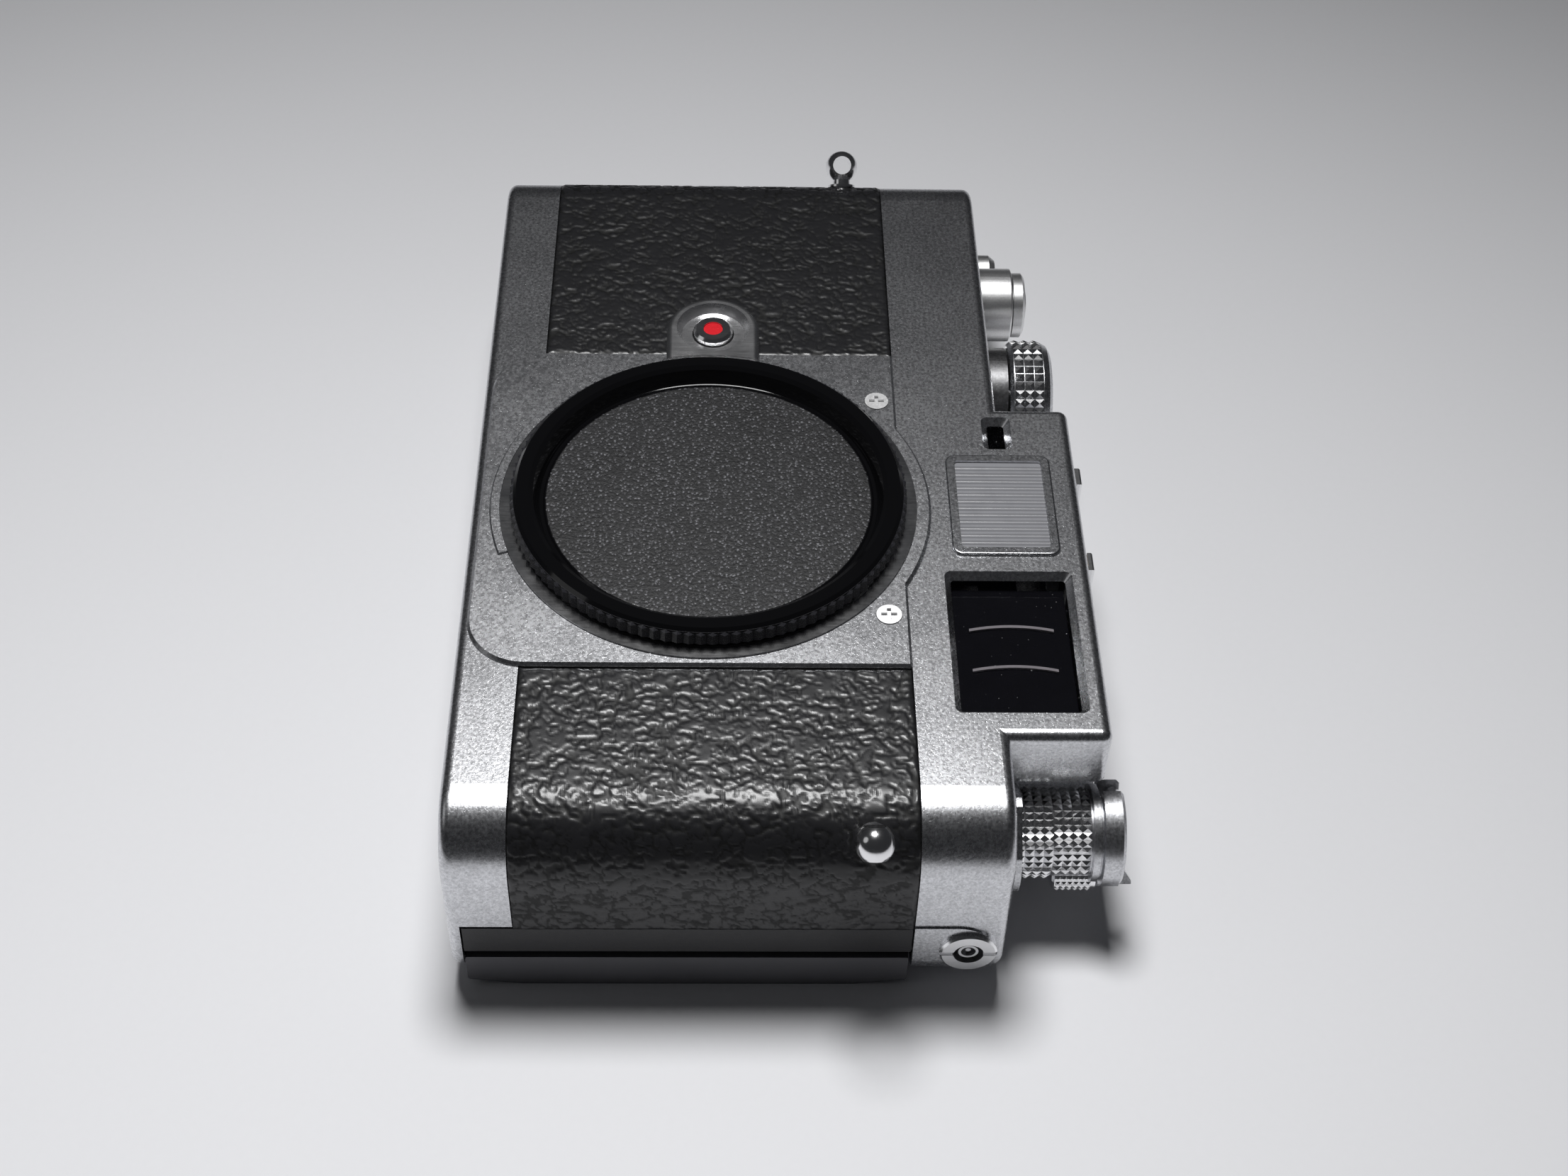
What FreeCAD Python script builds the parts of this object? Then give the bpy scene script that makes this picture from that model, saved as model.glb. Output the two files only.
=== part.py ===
import FreeCAD, Part
import math
import os

# A 35 mm rangefinder camera body with its body cap on, lying on its back.
# Millimetres. +X runs along the body towards the rewind end, +Y towards the top deck,
# +Z out of the lens mount. The origin is on the lens axis, in the plane the back rests on.

V = FreeCAD.Vector
X_AXIS = V(1, 0, 0)
Y_AXIS = V(0, 1, 0)
Z_AXIS = V(0, 0, 1)

# ---- driving dimensions -------------------------------------------------------------
body_length = 135.5
axis_to_rewind_end = 57.7
front_z = 31.0            # front face of the covers
cover_back_z = 2.8        # rear face of the covers
end_round_front = 9.0
end_round_back = 3.2
base_y = -32.7
lower_edge_y = -24.3      # bottom cover meets the covering
upper_edge_y = 26.7       # top cover meets the covering
release_deck_y = 41.4
rewind_deck_y = 38.6
block_top_y = 51.7
block_far_x = -20.4
block_near_x = 41.0
cover_wall = 1.0
edge_round = 1.4
skin = 1.0                # covering thickness
skin_proud = 0.15
side_strip_w = 6.5        # from the door's rim to the covering's lower edge
door_rim_rise = 0.9       # the door's rim, above the rear face
door_bottom_y = -31.0
door_back_wall = 2.0
door_gap = 0.4
fit_gap = 0.05            # radial running clearance
clear = 0.3               # general clearance between moving pieces

flange_z = front_z + 0.9
flange_focal = 27.8
mount_bore_r = 22.0
mount_ring_r = 28.7
gate_w = 36.0
gate_h = 24.0
rail_drop = 1.1           # film rails stand this far behind the main rear face
mount_sleeve_r = mount_bore_r + 2.5
cap_r = 26.8
cap_top_z = front_z + 4.0
cap_disc_r = 22.5
cap_disc_z = front_z + 1.7
cap_tube_low_z = front_z - 3.4

spindle_ahead = 9.9       # the spool axes, in front of the film
rewind_from_end = 14.5
rewind_knurl_r = 5.65
rewind_cap_r = 7.0
rewind_top_y = 54.1
chamber_r = 12.6
advance_from_end = 14.2
advance_hub_r = 5.9
advance_hub_top_y = 48.3
release_collar_r = 5.2
release_top_y = 50.8
dial_x = -38.6
dial_ahead = 2.0
dial_r = 8.85
dial_top_y = 51.9
sprocket_x = -38.5
sprocket_ahead = 5.7
lens_button_x = -35.0
lens_button_y = 0.3
shroud_r = 6.8
shoe_x = -3.4
shoe_width = 20.2
shoe_set_back = 5.5
shoe_depth = 18.4
shoe_slot_w = 18.7
shoe_slot_h = 2.05
shoe_lip = 3.3
shoe_rise = 1.85          # top of the rails above the finder block
shoe_flange = 0.6
plate_far_x = -31.06
plate_near_x = 29.67
plate_low_y = -31.5
plate_round = 8.0
plate_rise = 0.6
bulge_r = 30.73
tripod_x = 0.0
tripod_r = 3.175
tripod_depth = 5.5
battery_x = -33.0
battery_ahead = 5.0
battery_r = 7.0
hinge_r = 1.9
hinge_pin_r = 0.8
lug_ball_r = 2.55
lug_hole_r = 1.45
lug_post_r = 1.65
lug_ball_out = 3.5        # from the corner's surface to the ball's middle
lug_y = 20.7
sync_y = 33.8
sync_above_rim = 2.5
sync_r = 3.7
sync_neck_r = 2.55
sync_pad_rise = 0.25
sync_pad_reach = 4.7
shutter_half_w = 22.4
shutter_half_h = 25.4
shutter_thick = 4.4
blade_h = 10.6
blade_thick = 0.3
blade_layers = (1.25, 1.95, 2.65)
blade_low_y = (3.7, -5.0, -13.7)
selector_x = 24.0
selector_z = 9.0
roller_pivot_y = 27.6
roller_pivot_depth = 11.0
roller_y = 18.6
roller_drop = 7.4         # the roller's axis lies this far behind the flange
mirror_x = -15.0
mirror_ahead = 3.0
prism_nest = 1.8          # the finder prism reaches this far into the rewind pocket's radius
link_half = 2.5           # half thickness of the glass bar
chassis_top_y = 29.6
chassis_low_y = -29.6
sprocket_pocket_r = 7.2
bay_half = 23.6           # half height of the cassette and take-up bays
latch_half = 1.0
plate_screw_x = 20.8
plate_screw_y = 24.0
plate_screw_r = 1.7
ring_screw_r = 1.05
screw_angles = (45, 135, 225, 315)
screw_circle_r = 25.9
tab_angles = (80, 200, 320)
tab_half = 24
claw_thick = 1.2
lock_pin_x = -25.2
lock_pin_r = 0.9
cable_r = 1.3
shaft_r = 3.0
spindle_r = 2.0
knurl_top_y = 50.0
crank_low_y = 51.3
crank_turn = 62.0         # the folded arm points this far round from +X towards the rear
crank_pin_u = -5.0        # along the arm, from the knob's axis
crank_pin_r = 0.45
handle_r = 2.2
handle_stem_r = 0.8
handle_low_y = 45.4
counter_r = 3.2
counter_top_y = 46.6
counter_far = 9.35        # the counter's window stands this far beyond the lever's axis
film_window = (42.0, 47.0, -14.0, 16.0)
door_panel = (-66.0, 37.0, -23.0, 18.6)         # x0, x1, y0, y1
door_panel_depth = 0.45
# windows at the cover's face: x0, x1, then how far the lower and upper edges lie below the top
rf_window_at = (-18.3, -11.6, 12.8, 8.6)
frame_window_at = (-10.1, 9.4, 18.5, 3.7)
view_window_at = (12.2, 37.0, 19.9, 2.6)
window_bevel = 0.9
bezel_band = 1.3
eyepiece_x = 26.0
eyepiece_drop = 10.5
eyepiece_w = 15.0
eyepiece_h = 12.0
deck_hole_clear = 0.5
lever_reach = 28.6        # from the lever's axis to the far end of its arm
lever_lean = 25.0         # the arm at rest points this far behind +X
lever_half_w = 2.0
sync_pad_top_y = 37.1
sync_pad_round = 4.8
mount_gap = 0.05

near_x = axis_to_rewind_end
far_x = near_x - body_length
film_z = flange_z - flange_focal
rear_face_z = film_z + rail_drop
rewind_x = near_x - rewind_from_end
advance_x = far_x + advance_from_end
spindle_z = film_z + spindle_ahead
sprocket_z = film_z + sprocket_ahead
dial_z = spindle_z + dial_ahead
battery_z = spindle_z + battery_ahead
mirror_z = spindle_z + mirror_ahead
roller_pivot_z = front_z - roller_pivot_depth
shoe_front_z = front_z - shoe_set_back
door_rim_z = rear_face_z + door_rim_rise
side_strip_top_z = door_rim_z + side_strip_w
sync_z = door_rim_z + sync_above_rim
sync_pad_top_z = sync_z + sync_pad_reach
handle_u = rewind_cap_r - 1.25
eyepiece_y = block_top_y - eyepiece_drop
rf_window, frame_window, view_window = [(x0, x1, block_top_y - low, block_top_y - high)
                                        for x0, x1, low, high
                                        in (rf_window_at, frame_window_at, view_window_at)]
hinge_x = far_x + hinge_r + 0.5
hinge_z = hinge_r + 0.7
rewind_release_x = sprocket_x - 14.0
rewind_release_z = sprocket_z
shutter_z0 = rear_face_z + 3.0
shutter_z1 = shutter_z0 + shutter_thick
roller_z = flange_z - roller_drop
latch_x = near_x - 3.2
rewind_pocket_r = handle_u + handle_r + 0.35
prism_low_z = spindle_z + rewind_pocket_r - prism_nest
knob_low_y = rewind_deck_y + 0.6
crank_pin_y = rewind_top_y - 0.9
counter_x = advance_x - counter_far
counter_z = spindle_z - 1.3
shoe_floor_y = block_top_y - cover_wall
shoe_low_y = shoe_floor_y - 0.65
plate_top_z = front_z + plate_rise
lever_low_y = release_deck_y + clear

os.makedirs("parts", exist_ok=True)


# ---- helpers --------------------------------------------------------------------------
def box(x0, x1, y0, y1, z0, z1):
    return Part.makeBox(x1 - x0, y1 - y0, z1 - z0, V(x0, y0, z0))


def rod_y(x, z, r, y0, y1):
    return Part.makeCylinder(r, y1 - y0, V(x, y0, z), Y_AXIS)


def rod_z(x, y, r, z0, z1):
    return Part.makeCylinder(r, z1 - z0, V(x, y, z0), Z_AXIS)


def rod_x(y, z, r, x0, x1):
    return Part.makeCylinder(r, x1 - x0, V(x0, y, z), X_AXIS)


def fuse(shapes):
    whole = shapes[0]
    if len(shapes) > 1:
        whole = whole.multiFuse(shapes[1:])
    return whole.removeSplitter()


def outline(corners, place):
    """Closed wire through (u, v, radius) corners, each rounded by its own arc."""
    count = len(corners)
    starts = []
    arcs = []
    for i, (u, v, r) in enumerate(corners):
        before = corners[i - 1]
        after = corners[(i + 1) % count]
        here = V(u, v, 0)
        to_before = (V(before[0], before[1], 0) - here).normalize()
        to_after = (V(after[0], after[1], 0) - here).normalize()
        if r <= 0:
            starts.append((here, here))
            arcs.append(None)
            continue
        half = to_before.getAngle(to_after) / 2
        reach = r / math.tan(half)
        middle = (to_before + to_after).normalize()
        centre = here + middle * (r / math.sin(half))
        starts.append((here + to_before * reach, here + to_after * reach))
        arcs.append(centre - middle * r)
    edges = []
    for i in range(count):
        first, last = starts[i]
        following = starts[(i + 1) % count][0]
        if arcs[i] is not None:
            mid = arcs[i]
            arc = Part.Arc(place(first.x, first.y), place(mid.x, mid.y), place(last.x, last.y))
            edges.append(arc.toShape())
        if (following - last).Length > 1e-6:
            edges.append(Part.makeLine(place(last.x, last.y), place(following.x, following.y)))
    return Part.Face(Part.Wire(edges))


def prism_y(corners, y0, y1):
    """Corners are (x, z, radius)."""
    return outline(corners, lambda u, v: V(u, y0, v)).extrude(V(0, y1 - y0, 0))


def prism_z(corners, z0, z1):
    """Corners are (x, y, radius)."""
    return outline(corners, lambda u, v: V(u, v, z0)).extrude(V(0, 0, z1 - z0))


def prism_x(corners, x0, x1):
    """Corners are (y, z, radius)."""
    return outline(corners, lambda u, v: V(x0, u, v)).extrude(V(x1 - x0, 0, 0))


def rect(u0, u1, v0, v1, r):
    return [(u0, v0, r), (u1, v0, r), (u1, v1, r), (u0, v1, r)]


def section(inset, y0, y1):
    """The body's plan outline, moved inwards by inset, between two heights."""
    front = end_round_front - inset
    back = max(end_round_back - inset, 0.6)
    return prism_y([(far_x + inset, cover_back_z + inset, back),
                    (near_x - inset, cover_back_z + inset, back),
                    (near_x - inset, front_z - inset, front),
                    (far_x + inset, front_z - inset, front)], y0, y1)


def round_edges(shape, radius, wanted):
    """Fillet the edges whose middle point passes the test."""
    chosen = []
    for edge in shape.Edges:
        middle = edge.valueAt((edge.FirstParameter + edge.LastParameter) / 2)
        if wanted(middle, edge):
            chosen.append(edge)
    return shape.makeFillet(radius, chosen)


def chamfer_edges(shape, size, wanted):
    chosen = []
    for edge in shape.Edges:
        middle = edge.valueAt((edge.FirstParameter + edge.LastParameter) / 2)
        if wanted(middle, edge):
            chosen.append(edge)
    return shape.makeChamfer(size, chosen)


def revolve_y(points, x, z):
    """Turn (radius, y) points about the line through (x, z) along Y."""
    wire = Part.makePolygon([V(x + r, y, z) for r, y in points + points[:1]])
    return Part.Face(wire).revolve(V(x, 0, z), Y_AXIS, 360)


def revolve_z(points, x, y):
    """Turn (radius, z) points about the line through (x, y) along Z."""
    wire = Part.makePolygon([V(x + r, y, z) for r, z in points + points[:1]])
    return Part.Face(wire).revolve(V(x, y, 0), Z_AXIS, 360)


def save(node, shape):
    solid = shape.removeSplitter()
    solid.exportStep("parts/" + node + ".step")
    print(node, len(solid.Solids), round(solid.Volume, 2), "" if solid.isValid() else "NOT VALID")


# ---- casings ----------------------------------------------------------------------------


def cover_block(inset, y0):
    """Three steps of the top cover: release deck, viewfinder block and rewind deck."""
    reach = 6.0
    body = section(inset, y0, block_top_y)
    far = body.common(box(far_x, block_far_x + reach, y0, release_deck_y - inset, 0, front_z * 2))
    near = body.common(box(block_near_x - reach, near_x * 2, y0, rewind_deck_y - inset, 0, front_z * 2))
    mid = box(block_far_x + inset, block_near_x - inset, y0, block_top_y - inset,
              cover_back_z + inset, front_z - inset)
    return far, mid, near


def bevelled_hole(window, bevel, z_face, depth):
    x0, x1, y0, y1 = window
    outer = outline(rect(x0, x1, y0, y1, 1.0), lambda u, v: V(u, v, z_face + 0.01)).OuterWire
    inner = outline(rect(x0 + bevel, x1 - bevel, y0 + bevel, y1 - bevel, 0.5),
                    lambda u, v: V(u, v, z_face - depth)).OuterWire
    return Part.makeLoft([outer, inner], True, True)


def make_sync_pad():
    """Slightly raised patch of the end face that the flash socket stands on."""
    patch = prism_x([(upper_edge_y, cover_back_z, 0), (sync_pad_top_y, cover_back_z, 0),
                     (sync_pad_top_y, sync_pad_top_z, sync_pad_round), (upper_edge_y, sync_pad_top_z, 0)],
                    near_x - 4, near_x + 1)
    patch = patch.common(section(-sync_pad_rise, upper_edge_y, sync_pad_top_y))
    return patch.cut(rod_x(sync_y, sync_z, sync_r + 0.02, near_x, near_x + 1))


def make_top_cover():
    far, mid, near = cover_block(0, upper_edge_y)
    far = round_edges(far, edge_round, lambda p, e: abs(p.y - release_deck_y) < 0.01
                      and p.x < block_far_x + 5)
    near = round_edges(near, edge_round, lambda p, e: abs(p.y - rewind_deck_y) < 0.01
                       and p.x > block_near_x - 5)
    mid = round_edges(mid, edge_round, lambda p, e: abs(p.y - block_top_y) < 0.01 or
                      abs(p.y - (block_top_y + upper_edge_y) / 2) < 0.01)
    # the block is square below the decks, where its neighbours carry the face on
    foot = box(block_far_x, block_near_x, upper_edge_y, rewind_deck_y - edge_round, cover_back_z, front_z)
    outer = fuse([far, mid, near, foot, make_sync_pad()])
    pocket = rod_y(rewind_x, spindle_z, rewind_pocket_r, rewind_deck_y, block_top_y + 1)
    pocket_wall = rod_y(rewind_x, spindle_z, rewind_pocket_r + cover_wall, rewind_deck_y - cover_wall,
                        block_top_y + 1)
    hollow = fuse(list(cover_block(cover_wall, upper_edge_y - 1))).cut(pocket_wall)
    cover = outer.cut(pocket).cut(hollow)
    for window in (rf_window, view_window):
        cover = cover.cut(bevelled_hole(window, window_bevel, front_z, cover_wall + 0.01))
    x0, x1, y0, y1 = frame_window
    inset = bezel_band - 0.4
    cover = cover.cut(box(x0 + inset, x1 - inset, y0 + inset, y1 - inset, front_z - 2, front_z + 1))
    holes = [rod_y(rewind_x, spindle_z, 3.0 + deck_hole_clear, rewind_deck_y - 3, rewind_deck_y + 1),
             rod_y(advance_x, spindle_z, 3.4 + deck_hole_clear, release_deck_y - 3, release_deck_y + 1),
             rod_y(dial_x, dial_z, 3.0 + deck_hole_clear, release_deck_y - 3, release_deck_y + 1),
             rod_y(counter_x, counter_z, counter_r - 1.0, release_deck_y - 3, release_deck_y + 1),
             rod_x(sync_y, sync_z, sync_neck_r + 0.05, near_x - 3, near_x + 1),
             rod_y(selector_x, selector_z, 1.6, block_top_y - 3, block_top_y + 1),
             box(shoe_x - shoe_width / 2, shoe_x + shoe_width / 2, shoe_low_y, block_top_y + 1,
                 shoe_front_z - shoe_depth, shoe_front_z),
             box(eyepiece_x - eyepiece_w / 2 + 1.5, eyepiece_x + eyepiece_w / 2 - 1.5,
                 eyepiece_y - eyepiece_h / 2 + 1.5, eyepiece_y + eyepiece_h / 2 - 1.5, 0, cover_back_z + 2)]
    for hole in holes:
        cover = cover.cut(hole)
    return cover


def make_bottom_cover():
    shell = section(0, base_y, lower_edge_y)
    shell = round_edges(shell, edge_round, lambda p, e: abs(p.y - base_y) < 0.01)
    shell = shell.cut(section(cover_wall, base_y + cover_wall, lower_edge_y + 1))
    notch = box(far_x - 1, near_x + 1, door_bottom_y, lower_edge_y + 1, 0, side_strip_top_z + 0.6)
    shell = shell.cut(notch)
    for hole in (rod_y(tripod_x, spindle_z, 6.5, base_y - 1, base_y + 2),
                 rod_y(battery_x, battery_z, battery_r + clear, base_y - 1, base_y + 2),
                 rod_y(rewind_release_x, rewind_release_z, 2.4, base_y - 1, base_y + 2),
                 rod_z(0, 0, mount_sleeve_r + mount_gap, front_z - 3, front_z + 1)):
        shell = shell.cut(hole)
    return shell


def bay(x, radius):
    """A film bay: a round well opened straight to the rear."""
    well = rod_y(x, spindle_z, radius, -bay_half, bay_half)
    mouth = box(x - radius, x + radius, -bay_half, bay_half, 0, spindle_z)
    return fuse([well, mouth])


def make_chassis():
    core = section(skin + 0.05, chassis_low_y, chassis_top_y)
    core = core.common(box(far_x, near_x, chassis_low_y, chassis_top_y, rear_face_z, front_z))
    strips = []
    for x0, x1 in ((near_x - 3.0, near_x - 0.2), (far_x + 0.2, far_x + 3.0)):
        strips.append(box(x0, x1, door_bottom_y + 0.2, upper_edge_y - 0.2, door_rim_z + 1.4,
                          side_strip_top_z - 0.1))
    core = fuse([core] + strips)
    # film rails beside the gate
    rails = []
    for side in (-1, 1):
        for low, high, rise in ((gate_h / 2 + 0.8, gate_h / 2 + 2.2, 0), (17.7, 19.2, -0.5)):
            a, b = sorted((side * low, side * high))
            rails.append(box(-31.0, 30.0, a, b, film_z + rise, rear_face_z + 1))
    core = fuse([core] + rails)
    cuts = [bay(rewind_x, chamber_r), bay(advance_x, chamber_r - 0.4),
            box(sprocket_x - sprocket_pocket_r, sprocket_x + sprocket_pocket_r, -19.4, 19.4, 0,
                sprocket_z + sprocket_pocket_r),
            rod_z(0, 0, mount_bore_r - 0.8, shutter_z0 + 0.4, front_z + 1),
            rod_z(0, 0, mount_bore_r + 0.4, cap_tube_low_z - 1.0, front_z + 1),
            box(near_x - 2.0, near_x + 1, door_bottom_y - 1, upper_edge_y + 1, 0, door_rim_z + door_gap),
            box(-shutter_half_w - 0.1, shutter_half_w + 0.1, -shutter_half_h - 0.1, shutter_half_h + 0.1,
                shutter_z0 - 0.1, shutter_z1 + 0.1),
            box(-gate_w / 2, gate_w / 2, -gate_h / 2, gate_h / 2, 0, shutter_z0),
            rod_y(rewind_x, spindle_z, 3.5, 0, chassis_top_y + 1),
            rod_y(advance_x, spindle_z, 3.9, 0, chassis_top_y + 1),
            rod_y(sprocket_x, sprocket_z, spindle_r + fit_gap, chassis_low_y - 1, chassis_top_y + 1),
            rod_y(advance_x, spindle_z, spindle_r + fit_gap, chassis_low_y - 1, 0),
            box(-4.2, 4.2, roller_y - 4.4, chassis_top_y + 1, roller_pivot_z - 6.0, roller_z + 3.4),
            rod_x(roller_pivot_y, roller_pivot_z, 0.7 + fit_gap, -5.4, 5.4),
            rod_y(tripod_x, spindle_z, 6.1, chassis_low_y - 1, -26.4),
            rod_y(battery_x, battery_z, battery_r + 0.4, chassis_low_y - 1, -22.0),
            rod_y(rewind_release_x, rewind_release_z, 3.2, chassis_low_y - 1, -26.0),
            rod_z(lens_button_x, lens_button_y, 4.1, front_z - 7.2, front_z + 1),
            rod_z(lock_pin_x, 0, 1.6, front_z - 7.2, front_z + 1),
            box(lens_button_x, lock_pin_x + 1.6, -1.6, 1.6, front_z - 7.2, front_z - 3.4),
            rod_y(rewind_release_x, rewind_release_z, 1.6, -27.0, -25.0),
            box(latch_x - latch_half - clear, latch_x + latch_half + clear, -9, chassis_top_y + 1,
                rear_face_z - 1,
                rear_face_z + 1.9)]
    for x in (-plate_screw_x, plate_screw_x):
        cuts.append(rod_z(x, plate_screw_y, plate_screw_r * 0.6, front_z - 3, front_z))
    for shape in cuts + lug_posts(lug_post_r + 0.02, lug_post_r + 0.02):
        core = core.cut(shape)
    # posts that carry the finder block and the glass bar
    x0, x1 = view_window[0] + 2.2, view_window[1] - 2.6
    for px in (x0, x1 - 4.0):
        core = fuse([core, box(px, px + 4.0, chassis_top_y - 0.5, view_window[2] + 1.0, prism_low_z + 1.0,
                             prism_low_z + 6.0)])
    core = fuse([core, box(-4.0, 0.0, chassis_top_y - 0.5, eyepiece_y - 2.6, mirror_z - 2.0,
                           mirror_z + 2.0)])
    # room for the hinge barrel at the release end and two knuckles that carry its pin
    core = core.cut(box(far_x - 1, hinge_x + 4.4, door_bottom_y - 1, upper_edge_y + 1, 0, door_rim_z + 1.4))
    knuckles = []
    for y0, y1 in ((door_bottom_y + 0.2, door_bottom_y + 9.0), (upper_edge_y - 9.2, upper_edge_y - 0.4)):
        arm = rod_y(hinge_x, hinge_z, hinge_r, y0, y1)
        web = box(hinge_x - hinge_r, hinge_x + 0.3, y0, y1, hinge_z, door_rim_z + 1.6)
        knuckles.append(fuse([arm, web]).cut(rod_y(hinge_x, hinge_z, hinge_pin_r, y0 - 1, y1 + 1)))
    return fuse([core] + knuckles)


def make_front_plate():
    """Flat trim plate with a bulge concentric with the mount on its upper edge."""
    z0 = front_z
    flat = prism_z([(plate_far_x, plate_low_y, plate_round), (plate_near_x, plate_low_y, plate_round),
                    (plate_near_x, upper_edge_y, 0), (plate_far_x, upper_edge_y, 0)], z0, z0 + plate_rise)
    flat = chamfer_edges(flat, 0.35, lambda p, e: abs(p.z - z0 - plate_rise) < 0.01)
    bulge = rod_z(0, 0, bulge_r, z0, z0 + plate_rise)
    bulge = chamfer_edges(bulge, 0.35, lambda p, e: abs(p.z - z0 - plate_rise) < 0.01)
    plate = fuse([flat, bulge.common(box(-18.0, 18.0, 0, bulge_r + 1, z0, z0 + plate_rise))])
    # raised rim that follows the mount along the lower side and stops at a step
    rim_rise = 0.35
    rim = rod_z(0, 0, 30.1, z0, z0 + plate_rise + rim_rise)
    wedge = [V(0, 0, z0)]
    for angle in (-70, -103, -137):
        wedge.append(V(48 * math.cos(math.radians(angle)), 48 * math.sin(math.radians(angle)), z0))
    sector = Part.Face(Part.makePolygon(wedge + wedge[:1])).extrude(V(0, 0, 3))
    rim = rim.common(sector)
    rim = chamfer_edges(rim, 0.2, lambda p, e: abs(p.z - z0 - plate_rise - rim_rise) < 0.01
                        and math.hypot(p.x, p.y) > 25)
    plate = fuse([plate, rim])
    plate = plate.cut(rod_z(0, 0, mount_ring_r + mount_gap, z0 - 1, z0 + 3))
    plate = plate.cut(shroud_body(0.05, z0 - 1, z0 + 3))
    for x in (-plate_screw_x, plate_screw_x):
        plate = plate.cut(rod_z(x, plate_screw_y, plate_screw_r + 0.05, z0 - 1, z0 + 3))
    # the plate lies on the bottom cover and on a step of the body between the covers
    backing = box(plate_far_x + 0.2, plate_near_x - 0.2, lower_edge_y + 0.05, upper_edge_y - 0.05,
                  front_z - skin - 0.05, front_z)
    backing = backing.cut(rod_z(0, 0, mount_sleeve_r + mount_gap, 0, 60))
    for x in (-plate_screw_x, plate_screw_x):
        backing = backing.cut(rod_z(x, plate_screw_y, plate_screw_r * 0.5 + 0.2, 0, 60))
    backing = backing.cut(shroud_body(0.05, 0, 60))
    backing = backing.cut(rod_z(lock_pin_x, 0, 1.6, 0, 60))
    for angle in screw_angles:
        x = screw_circle_r * math.cos(math.radians(angle))
        y = screw_circle_r * math.sin(math.radians(angle))
        backing = backing.cut(rod_z(x, y, ring_screw_r * 0.5 + 0.03, 0, 60))
    return fuse([plate, backing])


def shroud_body(grow, z0, z1):
    """The lens release's tombstone outline, running under the mount ring's edge."""
    r = shroud_r + grow
    head = rod_z(lens_button_x, lens_button_y, r, z0, z1)
    tail = box(lens_button_x, -27.0, lens_button_y - r, lens_button_y + r, z0, z1)
    return fuse([head, tail])


def covering(near):
    """Grained skin wrapped round one front corner, between the two covers."""
    gap = 0.06
    wrap = section(-skin_proud, lower_edge_y + gap, upper_edge_y - gap)
    wrap = wrap.cut(section(skin + 0.03, lower_edge_y - 1, upper_edge_y + 1))
    if near:
        keep = box(plate_near_x + gap, near_x + 5, -60, 60, side_strip_top_z, front_z + 5)
    else:
        keep = box(far_x - 5, plate_far_x - gap, -60, 60, side_strip_top_z, front_z + 5)
    wrap = wrap.common(keep)
    if not near:
        wrap = wrap.cut(shroud_body(0.05, 0, 60))
    corner, way = lug_line(1 if near else -1)
    return wrap.cut(Part.makeCylinder(lug_post_r + 0.05, 30, corner, way))


def lug_line(side):
    """Where a lug stands: the middle of the front corner's round, and its outward direction."""
    x = near_x if side > 0 else far_x
    return V(x - side * end_round_front, lug_y, front_z - end_round_front), V(side, 0, 1).normalize()


def lug_posts(r_low, r_high):
    posts = []
    for side in (1, -1):
        corner, way = lug_line(side)
        seat = corner + way * (end_round_front - skin - 2.0)
        if abs(r_low - r_high) < 1e-6:
            posts.append(Part.makeCylinder(r_low, 5.5, seat, way))
        else:
            posts.append(Part.makeCone(r_low, r_high, 5.5, seat, way))
    return posts


def make_lugs():
    lugs = []
    for side, post in zip((1, -1), lug_posts(lug_post_r, lug_post_r - 0.3)):
        corner, way = lug_line(side)
        ball_at = corner + way * (end_round_front + lug_ball_out)
        ball = Part.makeSphere(lug_ball_r, ball_at)
        across = V(-side, 0, 1).normalize()
        hole = Part.makeCylinder(lug_hole_r, 12, ball_at - across * 6, across)
        flange = Part.makeCylinder(2.2, 0.35, corner + way * (end_round_front + skin_proud + 0.02), way)
        lugs.append(fuse([post, ball, flange]).cut(hole))
    return Part.makeCompound(lugs)


# ---- lens mount, release and cap ---------------------------------------------------------
def sector_ring(r0, r1, z0, z1, mid, half):
    """A ring's stretch, between two angles in degrees."""
    ring = rod_z(0, 0, r1, z0, z1).cut(rod_z(0, 0, r0, z0 - 1, z1 + 1))
    wedge = [V(0, 0, z0 - 1)]
    for angle in (mid - half, mid, mid + half):
        wedge.append(V(80 * math.cos(math.radians(angle)), 80 * math.sin(math.radians(angle)), z0 - 1))
    return ring.common(Part.Face(Part.makePolygon(wedge + wedge[:1])).extrude(V(0, 0, z1 - z0 + 2)))


def make_mount_ring():
    z0 = front_z - skin - 0.05
    ring = rod_z(0, 0, mount_ring_r, front_z, flange_z).cut(rod_z(0, 0, mount_bore_r, z0 - 1, flange_z + 1))
    sleeve = rod_z(0, 0, mount_sleeve_r, z0, front_z).cut(rod_z(0, 0, mount_bore_r, z0 - 1, front_z + 1))
    ring = fuse([ring, sleeve])
    # three claws reach into the bore below the flange, with gaps for the cap's tabs
    lip = rod_z(0, 0, mount_bore_r + 0.37, z0 - claw_thick, z0).cut(rod_z(0, 0, mount_bore_r, 0, z0 + 1))
    ring = fuse([ring, lip])
    for mid in tab_angles:
        claw = sector_ring(mount_bore_r - 1.6, mount_bore_r + 0.2, z0 - claw_thick, z0, mid + 60, 30)
        ring = fuse([ring, claw])
    for angle in screw_angles:
        x = screw_circle_r * math.cos(math.radians(angle))
        y = screw_circle_r * math.sin(math.radians(angle))
        ring = ring.cut(rod_z(x, y, ring_screw_r + 0.05, z0 - 3, flange_z + 1))
    ring = ring.cut(rod_z(lock_pin_x, 0, lock_pin_r + 0.1, z0 - 3, flange_z + 1))
    ring = ring.cut(shroud_body(0.05, front_z - 3, flange_z - 0.45))
    return ring


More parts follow.
